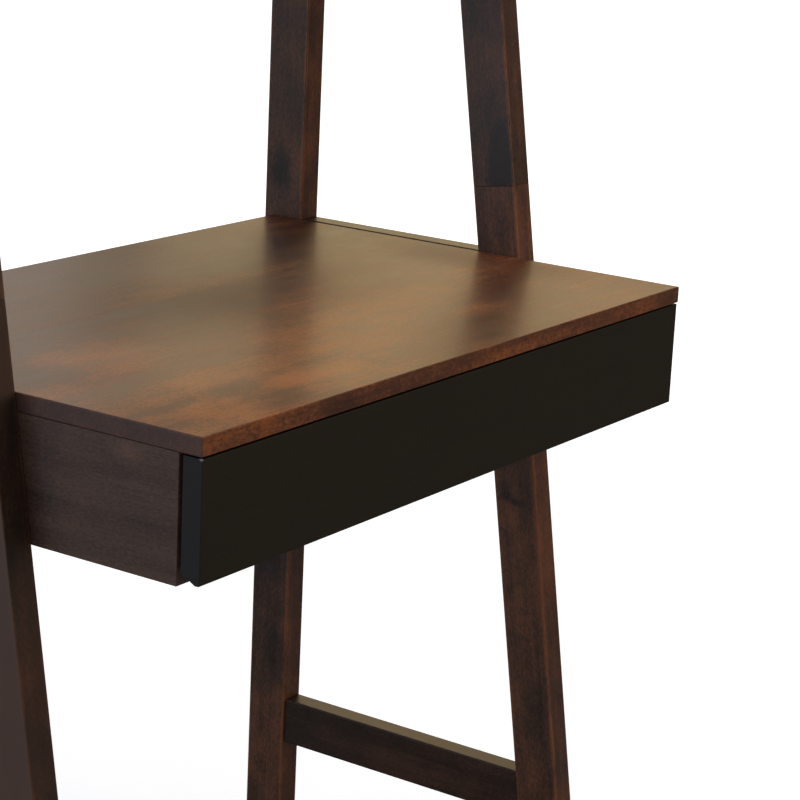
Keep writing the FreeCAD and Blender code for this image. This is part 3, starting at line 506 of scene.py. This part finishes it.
# a small pale glint painted on the top left corner of the front
GLINT_CENTRE = (-0.3737, -0.2580, 0.7450)
GLINT_RADII = (3 * MM, 3 * MM, 3 * MM)
GLINT_TONE = srgb(170, 170, 182)
LACQUER_RELIEF = 0.08 * MM


def black_lacquer():
    paint = Finish("black_lacquer")
    place = grain_place(paint, ALONG_X, 0.0)
    streaks = paint.noise(paint.scaled(place, (260.0, 260.0, 6.0)), detail=3.0, roughness=0.6)
    tooth = paint.noise(paint.place, scale=900.0, detail=2.0)
    cloud = paint.noise(paint.place, scale=14.0, detail=2.0)
    flecks = paint.noise(paint.place, scale=480.0, detail=2.0, roughness=0.6)
    mottle = streaks * 0.3 + cloud * 0.3 + flecks * 0.8 - 0.2
    colour = paint.blend(mottle, *BLACK_TONES)
    # Painted light: a cool sheen on the ends and a small glint at one corner.
    colour = paint.blend(paint.end_or_outer_faces(BLACK_END) * 0.5, colour, BLACK_END_SHEEN_TONE)
    colour = paint.blend(paint.blot(GLINT_CENTRE, GLINT_RADII, ragged=0.5), colour, GLINT_TONE)
    paint.set(Base_Color=colour, Roughness=0.5 + (cloud - 0.5) * 0.12, Specular_IOR_Level=0.3,
              Normal=paint.bump(tooth * 0.6 + streaks * 0.4, LACQUER_RELIEF))
    return paint.material


finishes["black"] = black_lacquer()

# %% [markdown]
# ## Drawer box, plywood and dowels
#
# Inside, the wood keeps its own pale colour under a thin clear lacquer. The same recipe
# serves with lighter tones and a duller surface.

# %% Pale wood
PALE_TONES = (srgb(176, 140, 98), srgb(201, 168, 124), srgb(219, 190, 150))
PLY_TONES = (srgb(188, 156, 112), srgb(210, 181, 138), srgb(224, 200, 160))


def pale_wood(name, turn, tones, shift):
    return stained_wood(name, turn, tones, shift, patch=0.6, gloss=0.5, coat=0.1)


finishes["box_side"] = pale_wood("rubberwood_along", ALONG_Y, PALE_TONES, 6.3)
finishes["box_end"] = pale_wood("rubberwood_across", ALONG_X, PALE_TONES, 7.9)
finishes["ply"] = pale_wood("plywood", ALONG_X, PLY_TONES, 9.4)
finishes["dowel"] = pale_wood("beech", ALONG_Z, PALE_TONES, 8.8)

# %% [markdown]
# ## Metal and nylon
#
# Runners are bent steel under a brown powder coat, with a fine pebble in it. Screws and pins
# are zinc plated, bolts blackened, and the rollers and glides moulded in nylon. Each gets
# a slow drift in its tone and roughness, because nothing handled stays evenly shiny, and
# a fine grit in its relief. `KINDS` says how much of each a kind of surface has.

# %% Hardware finishes
# scale and detail of the drift, its darkest shade, its share of the roughness, grit's scale
KINDS = {
    "metal": (220.0, 3.0, 0.72, 0.20, 2600.0),
    "moulded": (130.0, 3.0, 0.86, 0.12, 3000.0),
    "coated": (40.0, 2.0, 0.75, 0.15, 1500.0),
}


def hardware(name, kind, colour, rough, relief):
    """A plain colour whose tone and gloss drift, with a fine grit."""
    surface = Finish(name)
    drift_scale, detail, darkest, swing, grit_scale = KINDS[kind]
    drift = surface.noise(surface.place, scale=drift_scale, detail=detail)
    grit = surface.noise(surface.place, scale=grit_scale, detail=2.0)
    shade = tuple(channel * darkest for channel in colour)
    surface.set(Base_Color=surface.blend(drift, shade, colour),
                Metallic=1.0 if kind == "metal" else 0.0,
                Roughness=rough + (drift - 0.5) * swing,
                Normal=surface.bump(grit, relief))
    return surface.material


finishes["runner"] = hardware("brown_powder_coat", "coated", srgb(92, 70, 56), 0.38, 0.06 * MM)
finishes["zinc"] = hardware("zinc_plate", "metal", srgb(190, 192, 194), 0.32, 0.02 * MM)
finishes["yellow_zinc"] = hardware("yellow_zinc", "metal", srgb(196, 178, 124), 0.36, 0.02 * MM)
finishes["black_steel"] = hardware("black_oxide", "metal", srgb(52, 52, 54), 0.42, 0.03 * MM)
finishes["nylon"] = hardware("white_nylon", "moulded", srgb(226, 224, 216), 0.4, 0.03 * MM)
finishes["glide"] = hardware("brown_nylon", "moulded", srgb(62, 48, 40), 0.5, 0.03 * MM)

# %% [markdown]
# ## Which piece gets which finish
#
# The names of the pieces say what they are, so two short lists pick the finish: first by how
# a name ends, then by how it begins. The first match wins.

# %% Dress the pieces
FINISH_OF = [
    ("desktop", "top"),
    ("front_post_lower_left", "dark_post"),
    ("front_post_lower", "lower_post"),
    ("front_post_upper", "upper_post"),
    ("back_post", "back_post"),
    ("case_side", "case"),
    ("case_runner_screws", "zinc"),
    ("drawer_runner_screws", "zinc"),
    ("case_runner", "runner"),
    ("drawer_runner", "runner"),
    ("case_", "case_long"),
    ("drawer_front_screws", "zinc"),
    ("drawer_front", "black"),
    ("drawer_side", "box_side"),
    ("drawer_box", "box_end"),
    ("drawer_bottom", "ply"),
    ("front_roller_pins", "zinc"),
    ("rear_roller_pins", "zinc"),
    ("front_roller", "nylon"),
    ("rear_roller", "nylon"),
    ("floor_glides", "glide"),
    ("splice_dowels", "dowel"),
    ("board_dowels", "dowel"),
    ("insert_nuts", "yellow_zinc"),
    ("furniture_bolts", "black_steel"),
]
FINISH_BY_ENDING = [("_rail_left", "rail"), ("_rail_right", "rail"), ("_cleat_left", "case"),
                    ("_cleat_right", "case"), ("_board", "shelf"), ("_apron", "shelf")]


def finish_for(name):
    for ending, finish in FINISH_BY_ENDING:
        if name.endswith(ending):
            return finish
    for beginning, finish in FINISH_OF:
        if name.startswith(beginning):
            return finish
    raise ValueError("no finish for " + name)


def dress(piece, finish):
    """Gives every face of a piece one finish."""
    piece.data.materials.clear()
    piece.data.materials.append(finishes[finish])


for name, piece in nodes.items():
    dress(piece, finish_for(name))
print("dressed", len(nodes), "pieces with", len(finishes), "finishes")

# %% [markdown]
# ## Small hardware from recipes
#
# Fifty-six bolts, inserts and screws and thirty-seven dowels come in only six kinds, from
# four recipes. Each recipe is a Geometry Nodes tree: it takes points, named sizes and
# a material, and stands one copy on each point. The point's `aim` says which way the fastener
# goes in. The frame already holds every fastener as a plain rod, so the places are read from
# those rods, and the new piece takes the place of the old one.

# %% Where the fasteners are
SAME_VERTEX = 1e-6
PLACE_DIGITS = 6           # micrometres, so that the order never hangs on rounding


def loose_solids(name):
    """Lowest and highest corner of each separate solid in a node, in a fixed order."""
    merged = bmesh.new()
    merged.from_mesh(nodes[name].data)
    bmesh.ops.remove_doubles(merged, verts=merged.verts, dist=SAME_VERTEX)
    left = set(merged.verts)
    corners = []
    while left:
        reached = [left.pop()]
        for vertex in reached:
            for edge in vertex.link_edges:
                other = edge.other_vert(vertex)
                if other in left:
                    left.remove(other)
                    reached.append(other)
        places = list(zip(*(vertex.co for vertex in reached)))
        corners.append(([round(min(along), PLACE_DIGITS) for along in places],
                        [round(max(along), PLACE_DIGITS) for along in places]))
    merged.free()
    return [(Vector(low), Vector(high)) for low, high in sorted(corners)]


def sites_along(name, aim_of):
    """Where each fastener of a node starts, and its aim."""
    sites = []
    for low, high in loose_solids(name):
        middle = (low + high) / 2
        aim = aim_of(middle)
        half_length = abs((high - low).dot(aim)) / 2
        sites.append((middle - aim * half_length, aim))
    return sites


# Each of these says which way a fastener at some place goes in.
def outwards(middle):
    return Vector((math.copysign(1.0, middle.x), 0, 0))


def inwards(middle):
    return -outwards(middle)


def forwards(middle):
    return Vector((0, -1, 0))


def upwards(middle):
    return Vector((0, 0, 1))


# %% [markdown]
# ## The recipe class
#
# `Recipe` adds to a tree the parts that fasteners are made of. A thread is a flat grid that
# is rolled into a rod: one side of the grid becomes the angle, the other the length, and the
# radius dips wherever the two together are halfway between two turns. That makes a true helix
# without any modelling by hand. The first and last rows close at the middle, and merging near
# vertices seals the seam. The crest of a thread keeps the radius of the plain rod, so it
# stays inside its hole.

# %% Recipe helpers
SMALLEST = 1e-5            # vertices nearer than this are merged
ROW_MARGIN = 1e-4          # tells the first and last row of a grid from the others
END_ROWS = 3.0
POINT_BLUNT = 0.25         # a point keeps this share of the shank's radius
HEAD_AROUND = 28
HEAD_RINGS = 5
SHANK_START = 0.9          # a shank starts inside its head, at this share of its thickness
SEEDS = {"screw": 3, "bolt": 5, "insert": 7, "dowel": 9, "ribs": 11}


class Recipe(NodeTree):
    """A Geometry Nodes tree that builds one fastener and stands it on every point."""

    def __init__(self, name, sizes):
        super().__init__(bpy.data.node_groups.new(name, "GeometryNodeTree"))
        sockets = self.tree.interface
        sockets.new_socket("Geometry", in_out="INPUT", socket_type="NodeSocketGeometry")
        for size in sizes:
            sockets.new_socket(size, in_out="INPUT", socket_type="NodeSocketFloat")
        sockets.new_socket("Material", in_out="INPUT", socket_type="NodeSocketMaterial")
        sockets.new_socket("Geometry", in_out="OUTPUT", socket_type="NodeSocketGeometry")
        self.identifier = {item.name: item.identifier for item in sockets.items_tree
                           if item.in_out == "INPUT"}
        self.start = self.tree.nodes.new("NodeGroupInput")

    def size(self, name):
        return Value(self, self.start.outputs[name])

    def place(self):
        """X, Y and Z of a vertex."""
        return self.axes(self.add("GeometryNodeInputPosition", {}, {}))

    def vector(self, x, y, z):
        return self.add("ShaderNodeCombineXYZ", {}, {0: x, 1: y, 2: z})

    def placed(self, shape, x, y, z):
        """Every vertex put at a place."""
        inputs = {"Geometry": shape, "Position": self.vector(x, y, z)}
        return self.add("GeometryNodeSetPosition", {}, inputs)

    def lifted(self, shape, rise):
        """Every vertex moved along Z."""
        inputs = {"Geometry": shape, "Offset": self.vector(0.0, 0.0, rise)}
        return self.add("GeometryNodeSetPosition", {}, inputs)

    def joined(self, *shapes):
        join = self.add("GeometryNodeJoinGeometry", {}, {})
        for shape in shapes:
            self.tree.links.new(shape.socket, join.socket.node.inputs[0])
        return join

    def cut(self, shape, *tools):
        """Shape with the tools taken out of it."""
        settings = {"operation": "DIFFERENCE", "solver": "EXACT"}
        difference = self.add("GeometryNodeMeshBoolean", settings, {"Mesh 1": shape}, "Mesh")
        for tool in tools:
            self.tree.links.new(tool.socket, difference.socket.node.inputs["Mesh 2"])
        return self.merged(difference)

    def merged(self, shape):
        inputs = {"Geometry": shape, "Distance": SMALLEST}
        return self.add("GeometryNodeMergeByDistance", {}, inputs)

    def rolled(self, length, rows, around, radius_of, crowd_ends=False):
        """A closed rod along Z whose radius follows the angle and the length."""
        sizes = {"Size X": 1.0, "Size Y": 1.0, "Vertices X": around + 1, "Vertices Y": rows}
        grid = self.add("GeometryNodeMeshGrid", {}, sizes, "Mesh")
        x, y = self.place()[:2]
        turn = x + 0.5
        share = y + 0.5
        past_first = share.maths("GREATER_THAN", share, ROW_MARGIN)
        before_last = share.maths("LESS_THAN", share, 1 - ROW_MARGIN)
        if crowd_ends:     # rows lie closer together near both ends
            share = share.maths("COSINE", share * math.pi) * -0.5 + 0.5
        along = share * length
        radius = radius_of(turn, along) * (past_first * before_last)
        angle = turn * (2 * math.pi)
        rod = self.placed(grid, angle.maths("COSINE", angle) * radius,
                          angle.maths("SINE", angle) * radius, along)
        return self.merged(rod)

    def threaded(self, radius, length, pitch, depth, plain, point, around=16, rows_a_turn=6):
        """A rod with a thread beyond its plain part and a taper over its point."""
        rows = (length / pitch) * rows_a_turn + END_ROWS

        def radius_of(turn, along):
            wave = along / pitch - turn
            groove = wave.maths("ABSOLUTE", wave.maths("FRACT", wave) - 0.5) * 2.0
            cut_in = (along - plain) / pitch
            cut_in = cut_in.maths("MINIMUM", cut_in, 1.0)
            cut_in = cut_in.maths("MAXIMUM", cut_in, 0.0)
            taper = (length - along) / point
            taper = taper.maths("MINIMUM", taper + POINT_BLUNT, 1.0)
            return (radius - groove * cut_in * depth) * taper

        return self.rolled(length, rows, around, radius_of)

    def head(self, outer, inner, thick, crown):
        """A round head on z = 0, from its outer radius to its inner one, with a domed face."""
        sizes = {"Vertices": HEAD_AROUND, "Side Segments": 2, "Fill Segments": HEAD_RINGS,
                 "Radius Top": inner, "Radius Bottom": outer, "Depth": thick}
        plain = self.add("GeometryNodeMeshCone", {"fill_type": "TRIANGLE_FAN"}, sizes, "Mesh")
        x, y, z = self.place()
        on_face = z.maths("LESS_THAN", z, SMALLEST)
        away = (x * x + y * y) / (outer * outer)
        return self.lifted(plain, on_face * away * crown)

    def bar(self, long, wide, deep):
        """A block about the axis, sunk to a depth: one arm of a cross recess."""
        sizes = {"Size": self.vector(long, wide, deep * 2.0)}
        return self.add("GeometryNodeMeshCube", {}, sizes, "Mesh")

    def key_hole(self, across, deep):
        """A six-sided socket of a size across its flats."""
        sizes = {"Vertices": 6, "Radius": across / math.sqrt(3), "Depth": deep * 2.0}
        return self.add("GeometryNodeMeshCylinder", {"fill_type": "NGON"}, sizes, "Mesh")

    def finish(self, fastener, seed):
        """Stands the fastener on the points, each turned by chance about its own axis."""
        aim = self.add("GeometryNodeInputNamedAttribute", {"data_type": "FLOAT_VECTOR"},
                       {"Name": "aim"})
        stand = self.add("FunctionNodeAlignRotationToVector", {"axis": "Z"}, {"Vector": aim})
        limits = {2: 0.0, 3: 2 * math.pi, "Seed": seed}
        chance = self.add("FunctionNodeRandomValue", {"data_type": "FLOAT"}, limits, 1)
        spin = self.add("FunctionNodeAxisAngleToRotation", {}, {"Axis": (0, 0, 1), "Angle": chance})
        turned = self.add("FunctionNodeRotateRotation", {"rotation_space": "LOCAL"},
                          {"Rotation": stand, "Rotate By": spin})
        placing = {"Points": self.size("Geometry"), "Instance": fastener, "Rotation": turned}
        copies = self.add("GeometryNodeInstanceOnPoints", {}, placing)
        real = self.add("GeometryNodeRealizeInstances", {}, {"Geometry": copies})
        dressed = self.add("GeometryNodeSetMaterial", {},
                           {"Geometry": real, "Material": self.size("Material")})
        end = self.tree.nodes.new("NodeGroupOutput")
        self.tree.links.new(dressed.socket, end.inputs[0])


# %% [markdown]
# ## Screws
#
# A wood screw here is a head, a cross recess cut into it with two bars, and a threaded shank
# that tapers to its point. The same tree makes the short countersunk screws of the runners
# and the long domed ones behind the black front: only the sizes differ.

# %% Screw recipe
SCREW_SIZES = ["Head Radius", "Neck Radius", "Head Thick", "Crown", "Shank Radius", "Length",
               "Pitch", "Thread Depth", "Plain", "Recess Long", "Recess Wide", "Recess Deep"]
screw = Recipe("screw", SCREW_SIZES)
size = screw.size
recess_arms = [screw.bar(size("Recess Long"), size("Recess Wide"), size("Recess Deep")),
               screw.bar(size("Recess Wide"), size("Recess Long"), size("Recess Deep"))]
screw_head = screw.head(size("Head Radius"), size("Neck Radius"), size("Head Thick"),
                        size("Crown"))
screw_head = screw.cut(screw_head, *recess_arms)
screw_shank = screw.threaded(size("Shank Radius"), size("Length"), size("Pitch"),
                             size("Thread Depth"), size("Plain"), size("Shank Radius") * 2.0)
screw_shank = screw.lifted(screw_shank, size("Head Thick") * SHANK_START)
screw.finish(screw.joined(screw_head, screw_shank), SEEDS["screw"])
print("screw recipe:", len(screw.tree.nodes), "nodes")

# %% [markdown]
# ## Growing a recipe into a piece
#
# The points go into a small mesh with their aims as an attribute, and the recipe into a
# modifier on it. The result is read back as a plain mesh, which replaces the points, and the
# modifier goes. What is left is an ordinary piece that rides on its body and stands for the
# plain rods of the frame.

# %% Grow a piece
SHARP_ANGLE = math.radians(35)


def grow(name, recipe, sites, sizes, finish):
    """A piece with one fastener at each site; sizes are in millimetres."""
    points = bpy.data.meshes.new(name + "_points")
    points.from_pydata([place for place, aim in sites], [], [])
    aims = points.attributes.new("aim", "FLOAT_VECTOR", "POINT")
    for entry, (place, aim) in zip(aims.data, sites):
        entry.vector = aim
    piece = bpy.data.objects.new(name, points)
    bpy.context.scene.collection.objects.link(piece)
    modifier = piece.modifiers.new("recipe", "NODES")
    modifier.node_group = recipe.tree
    for size_name, value in sizes.items():
        modifier[recipe.identifier[size_name]] = value * MM
    modifier[recipe.identifier["Material"]] = finishes[finish]
    evaluated = piece.evaluated_get(bpy.context.evaluated_depsgraph_get())
    grown = bpy.data.meshes.new_from_object(evaluated)
    piece.modifiers.clear()
    grown.shade_smooth()
    grown.set_sharp_from_angle(angle=SHARP_ANGLE)
    grown.name = name
    piece.data = grown
    bpy.data.meshes.remove(points)
    print(name, len(sites), "copies,", len(grown.vertices), "vertices")
    return piece


def refit(node, ending, recipe, sites, sizes, finish, body):
    """Grows the fasteners of a node and puts them in its place."""
    piece = grow(node + ending, recipe, sites, sizes, finish)
    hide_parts(node)
    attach(piece, body)


# %% Runner screws and front screws
RUNNER_SCREW = {"Head Radius": 3.4, "Neck Radius": 1.75, "Head Thick": 1.2, "Crown": 0.0,
                "Shank Radius": 1.75, "Length": 11.0, "Plain": 1.0,
                "Pitch": 1.4, "Thread Depth": 0.45,
                "Recess Long": 3.4, "Recess Wide": 0.8, "Recess Deep": 0.8}
FRONT_SCREW = {"Head Radius": 3.9, "Neck Radius": 4.0, "Head Thick": 1.5, "Crown": 0.9,
               "Shank Radius": 2.0, "Length": 23.9, "Plain": 4.0,
               "Pitch": 1.8, "Thread Depth": 0.5,
               "Recess Long": 3.8, "Recess Wide": 0.9, "Recess Deep": 1.2}
for node, aim_of, sizes, body in (
        ("case_runner_screws", outwards, RUNNER_SCREW, "desk"),
        ("drawer_runner_screws", inwards, RUNNER_SCREW, "drawer"),
        ("drawer_front_screws", forwards, FRONT_SCREW, "drawer")):
    refit(node, "_crossed", screw, sites_along(node, aim_of), sizes, "zinc", body)

# %% [markdown]
# ## Furniture bolts and threaded inserts
#
# The side frames come off the case for carriage, so they are held by bolts that turn into
# metal inserts. A bolt has a broad flat head with a six-sided socket and a fine thread on its
# last part only. An insert is a short tube with a coarse thread outside, which bites into the
# post.

# %% Bolt and insert recipes
BOLT_SIZES = ["Head Radius", "Head Thick", "Crown", "Shank Radius", "Length", "Pitch",
              "Thread Depth", "Plain", "Key Across", "Key Deep"]
BOLT_FACE = 0.94           # the outer face of the head, against its inner face
bolt = Recipe("furniture_bolt", BOLT_SIZES)
size = bolt.size
bolt_head = bolt.head(size("Head Radius") * BOLT_FACE, size("Head Radius"), size("Head Thick"),
                      size("Crown"))
bolt_head = bolt.cut(bolt_head, bolt.key_hole(size("Key Across"), size("Key Deep")))
bolt_shank = bolt.threaded(size("Shank Radius"), size("Length"), size("Pitch"),
                           size("Thread Depth"), size("Plain"), size("Pitch"), rows_a_turn=4)
bolt_shank = bolt.lifted(bolt_shank, size("Head Thick") * SHANK_START)
bolt.finish(bolt.joined(bolt_head, bolt_shank), SEEDS["bolt"])

INSERT_AROUND = 24
insert = Recipe("threaded_insert", ["Radius", "Length", "Pitch", "Thread Depth", "Bore Radius"])
size = insert.size
insert_body = insert.threaded(size("Radius"), size("Length"), size("Pitch"), size("Thread Depth"),
                              size("Pitch"), size("Pitch"), around=INSERT_AROUND)
bore_sizes = {"Vertices": INSERT_AROUND, "Radius": size("Bore Radius"),
              "Depth": size("Length") * 3.0}
insert_bore = insert.add("GeometryNodeMeshCylinder", {"fill_type": "NGON"}, bore_sizes, "Mesh")
insert.finish(insert.cut(insert_body, insert_bore), SEEDS["insert"])

# %% Bolts and inserts
BOLT = {"Head Radius": 8.5, "Head Thick": 2.0, "Crown": 0.5,
        "Shank Radius": 3.0, "Length": 33.7, "Plain": 17.0, "Pitch": 1.0, "Thread Depth": 0.45,
        "Key Across": 4.0, "Key Deep": 1.4}
INSERT = {"Radius": 4.5, "Length": 12.0, "Pitch": 2.5, "Thread Depth": 0.7, "Bore Radius": 3.1}
refit("furniture_bolts", "_threaded", bolt, sites_along("furniture_bolts", outwards), BOLT,
      "black_steel", "desk")
refit("insert_nuts", "_threaded", insert, sites_along("insert_nuts", outwards), INSERT,
      "yellow_zinc", "desk")

# %% [markdown]
# ## Fluted dowels
#
# Beech dowels have straight flutes that let the glue escape and a small chamfer at each end.
# The rolled grid makes them as well: here the radius dips with the angle alone, and shrinks
# towards both ends. The dowels of the slanted posts lie along the lean.

# %% Dowel recipe
FLUTES = 12
STEPS_A_FLUTE = 4
DOWEL_ROWS = 16
dowel = Recipe("fluted_dowel", ["Radius", "Length", "Flute Depth", "Chamfer"])
size = dowel.size


def fluted_radius(turn, along):
    flute = turn * (2 * math.pi * FLUTES)
    dip = flute.maths("COSINE", flute) * 0.5 + 0.5
    from_end = along.maths("MINIMUM", along, size("Length") - along)
    chamfer = size("Chamfer") - from_end
    chamfer = chamfer.maths("MAXIMUM", chamfer, 0.0)
    return size("Radius") - dip * size("Flute Depth") - chamfer


fluted_rod = dowel.rolled(size("Length"), DOWEL_ROWS, FLUTES * STEPS_A_FLUTE, fluted_radius,
                          crowd_ends=True)
dowel.finish(fluted_rod, SEEDS["dowel"])

# %% Dowels
LEAN_AIM = Vector((0, math.sin(FRONT_POST_LEAN), math.cos(FRONT_POST_LEAN)))
BOARD_DOWEL = {"Radius": 4.0, "Length": 23.0, "Flute Depth": 0.25, "Chamfer": 0.8}
SPLICE_DOWEL = dict(BOARD_DOWEL, Length=50.0)
splice_reach = LEAN_AIM * (SPLICE_DOWEL["Length"] * MM / 2)
splice_sites = [((low + high) / 2 - splice_reach, LEAN_AIM)
                for low, high in loose_solids("splice_dowels")]
refit("splice_dowels", "_fluted", dowel, splice_sites, SPLICE_DOWEL, "dowel", "desk")
refit("board_dowels", "_fluted", dowel, sites_along("board_dowels", upwards), BOARD_DOWEL,
      "dowel", "desk")

# %% [markdown]
# ## Ribs in the rollers
#
# A moulded roller is stiffened by ribs between its hub and its tyre, on both sides. They also
# make the turning visible. The recipe sets small blocks on a ring of points, each turned to
# face outwards by the angle of its point, and stands one ring in each dish. Each roller turns
# by itself, so each pair of rings is a piece of its own that rides on its roller.

# %% Roller ribs
RIB_COUNT = 7
RIB_WIDE = 1.0             # millimetres
RIB_THICK = 0.6
RIB_SINK = 0.05            # below the face of the roller
HUB_RADIUS = 4.6
DISH_SHARE = 0.8           # of the roller's radius

ribs = Recipe("roller_ribs", ["Ring Radius", "Long", "Wide", "Thick"])
size = ribs.size
block = {"Size": ribs.vector(size("Long"), size("Wide"), size("Thick"))}
rib = ribs.add("GeometryNodeMeshCube", {}, block, "Mesh")
circle = {"Vertices": RIB_COUNT, "Radius": size("Ring Radius")}
ring = ribs.add("GeometryNodeMeshCircle", {}, circle)
x, y = ribs.place()[:2]
facing = ribs.vector(0.0, 0.0, x.maths("ARCTAN2", y, x))
placing = {"Points": ring, "Instance": rib, "Rotation": facing}
rib_ring = ribs.add("GeometryNodeInstanceOnPoints", {}, placing)
ribs.finish(rib_ring, SEEDS["ribs"])

for roller in ("front_roller_left", "front_roller_right", "rear_roller_left", "rear_roller_right"):
    low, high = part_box(roller)
    middle = (low + high) / 2
    dish_radius = (high.z - low.z) / 2 * DISH_SHARE / MM
    rib_sizes = {"Ring Radius": (dish_radius + HUB_RADIUS) / 2, "Long": dish_radius - HUB_RADIUS,
                 "Wide": RIB_WIDE, "Thick": RIB_THICK}
    from_middle = (high.x - low.x) / 2 - (RIB_SINK + RIB_THICK / 2) * MM
    aims = [Vector((side, 0, 0)) for side in (-1, 1)]
    faces = [(middle + aim * from_middle, aim) for aim in aims]
    piece = grow(roller + "_ribs", ribs, faces, rib_sizes, "nylon")
    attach(piece, roller)
print("recipes:", [group.name for group in bpy.data.node_groups])

# %% [markdown]
# ## Floor and light
#
# A white sheet stands in for the studio. Seen directly it glows a little, so that with the
# lamps on it just reaches white, and the desk's own shadow still shows on it. Further out,
# where the lamps grow weak, the glow takes over, and the sheet runs into the white room with
# no edge. For all other rays it is a plain dull sheet, so the glow doesn't light the desk.

# %% Stage
FLOOR_SIZE = 60.0
NEAR_GLOW = (0.68, 0.68, 0.68)     # under the desk, where the lamps do the rest
NEAR_REACH = 1.0
FAR_GLOW = (1.0, 1.0, 1.0)
FAR_REACH = 4.5
FLOOR_SHADE = (0.55, 0.60, 0.68)
FLOOR_DULL = (0.22, 0.21, 0.20)    # what the desk sees of the floor


def for_rays(tree, kind, other, seen):
    """Mixes the look for one kind of ray with the look for all others."""
    path = tree.nodes.new("ShaderNodeLightPath")
    mix = tree.nodes.new("ShaderNodeMixShader")
    tree.links.new(path.outputs[kind], mix.inputs[0])
    tree.links.new(other, mix.inputs[1])
    tree.links.new(seen, mix.inputs[2])
    return mix.outputs[0]


def floor_material():
    material = bpy.data.materials.new("white_sheet")
    material.use_nodes = True
    sheet = NodeTree(material.node_tree)
    sheet.tree.nodes.clear()
    place = sheet.add("ShaderNodeTexCoord", {}, {}, "Object")
    away = sheet.add("ShaderNodeVectorMath", {"operation": "LENGTH"}, {0: place}, "Value")
    ends = {"Factor": away.ramp(NEAR_REACH, FAR_REACH), 6: (*NEAR_GLOW, 1), 7: (*FAR_GLOW, 1)}
    glow_colour = sheet.add("ShaderNodeMix", {"data_type": "RGBA"}, ends, 2)
    glow = sheet.add("ShaderNodeEmission", {}, {"Color": glow_colour})
    shade = sheet.add("ShaderNodeBsdfDiffuse", {}, {"Color": (*FLOOR_SHADE, 1)})
    both = sheet.add("ShaderNodeAddShader", {}, {0: glow, 1: shade})
    dull = sheet.add("ShaderNodeBsdfDiffuse", {}, {"Color": (*FLOOR_DULL, 1)})
    output = sheet.tree.nodes.new("ShaderNodeOutputMaterial")
    surface = for_rays(sheet.tree, "Is Camera Ray", dull.socket, both.socket)
    sheet.tree.links.new(surface, output.inputs["Surface"])
    return material


def floor():
    half = FLOOR_SIZE / 2
    mesh = bpy.data.meshes.new("floor")
    corners = [(-half, -half, 0), (half, -half, 0), (half, half, 0), (-half, half, 0)]
    mesh.from_pydata(corners, [], [(0, 1, 2, 3)])
    mesh.materials.append(floor_material())
    sheet = bpy.data.objects.new("floor", mesh)
    bpy.context.scene.collection.objects.link(sheet)
    return sheet


floor()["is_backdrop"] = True

# %% [markdown]
# ## The room
#
# The desk is lit by a dim even room and reflects an even dimmer one, while the camera sees
# plain white round it.

# %% World
ROOM_LIGHT = (0.34, 0.33, 0.32)
ROOM_SHEEN = (0.19, 0.15, 0.12)    # what shiny surfaces reflect of the room
PLAIN_WHITE = (1.0, 1.0, 1.0)


def background(tree, colour):
    node = tree.nodes.new("ShaderNodeBackground")
    node.inputs["Color"].default_value = (*colour, 1)
    return node.outputs[0]


world = bpy.data.worlds.new("studio")
world.use_nodes = True
tree = world.node_tree
tree.nodes.clear()
look = for_rays(tree, "Is Glossy Ray", background(tree, ROOM_LIGHT), background(tree, ROOM_SHEEN))
look = for_rays(tree, "Is Camera Ray", look, background(tree, PLAIN_WHITE))
output = tree.nodes.new("ShaderNodeOutputWorld")
tree.links.new(look, output.inputs["Surface"])
bpy.context.scene.world = world
bpy.context.scene.view_settings.view_transform = "Standard"

# %% [markdown]
# ## The lamps
#
# Six large soft lamps face the desk. The desktop is shiny at a low angle, so it mostly shows
# the two lamps behind it, with the posts before them as dark streaks. The lamp on the left is
# cool and lights the side faces, and the two in front are warm and light the edges.

# %% Lamps
AIM = Vector((0.0, 0.0, 0.75))
# name, place, size, watts, colour
LAMPS = [
    ("overhead", (-0.4, -0.6, 4.2), 2.6, 60, (1.0, 0.93, 0.85)),
    ("back_right", (4.64, 2.68, 2.45), 2.1, 22, (1.0, 0.75, 0.38)),
    ("back", (3.0, 4.4, 2.3), 2.4, 20, (1.0, 0.91, 0.80)),
    ("front_right", (1.6, -4.0, 1.8), 2.2, 38, (1.0, 0.60, 0.38)),
    ("left", (-5.2, 1.8, 1.1), 3.0, 62, (0.80, 0.88, 1.0)),
    ("front_left", (-6.0, -2.6, 2.2), 3.0, 25, (1.0, 0.88, 0.76)),
]

for name, place, width, watts, colour in LAMPS:
    light = bpy.data.lights.new(name, "AREA")
    light.size = width
    light.energy = watts
    light.color = colour
    lamp = bpy.data.objects.new(name, light)
    lamp.location = place
    lamp.rotation_euler = (AIM - Vector(place)).to_track_quat("-Z", "Y").to_euler()
    lamp.visible_camera = False
    bpy.context.scene.collection.objects.link(lamp)
print("lamps:", ", ".join(lamp[0] for lamp in LAMPS))

# %% [markdown]
# ## Finish
#
# The last lines print how large the dressed desk is.

# %% Size of the desk
low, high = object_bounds()
print("size:", [round(high[i] - low[i], 4) for i in range(3)])
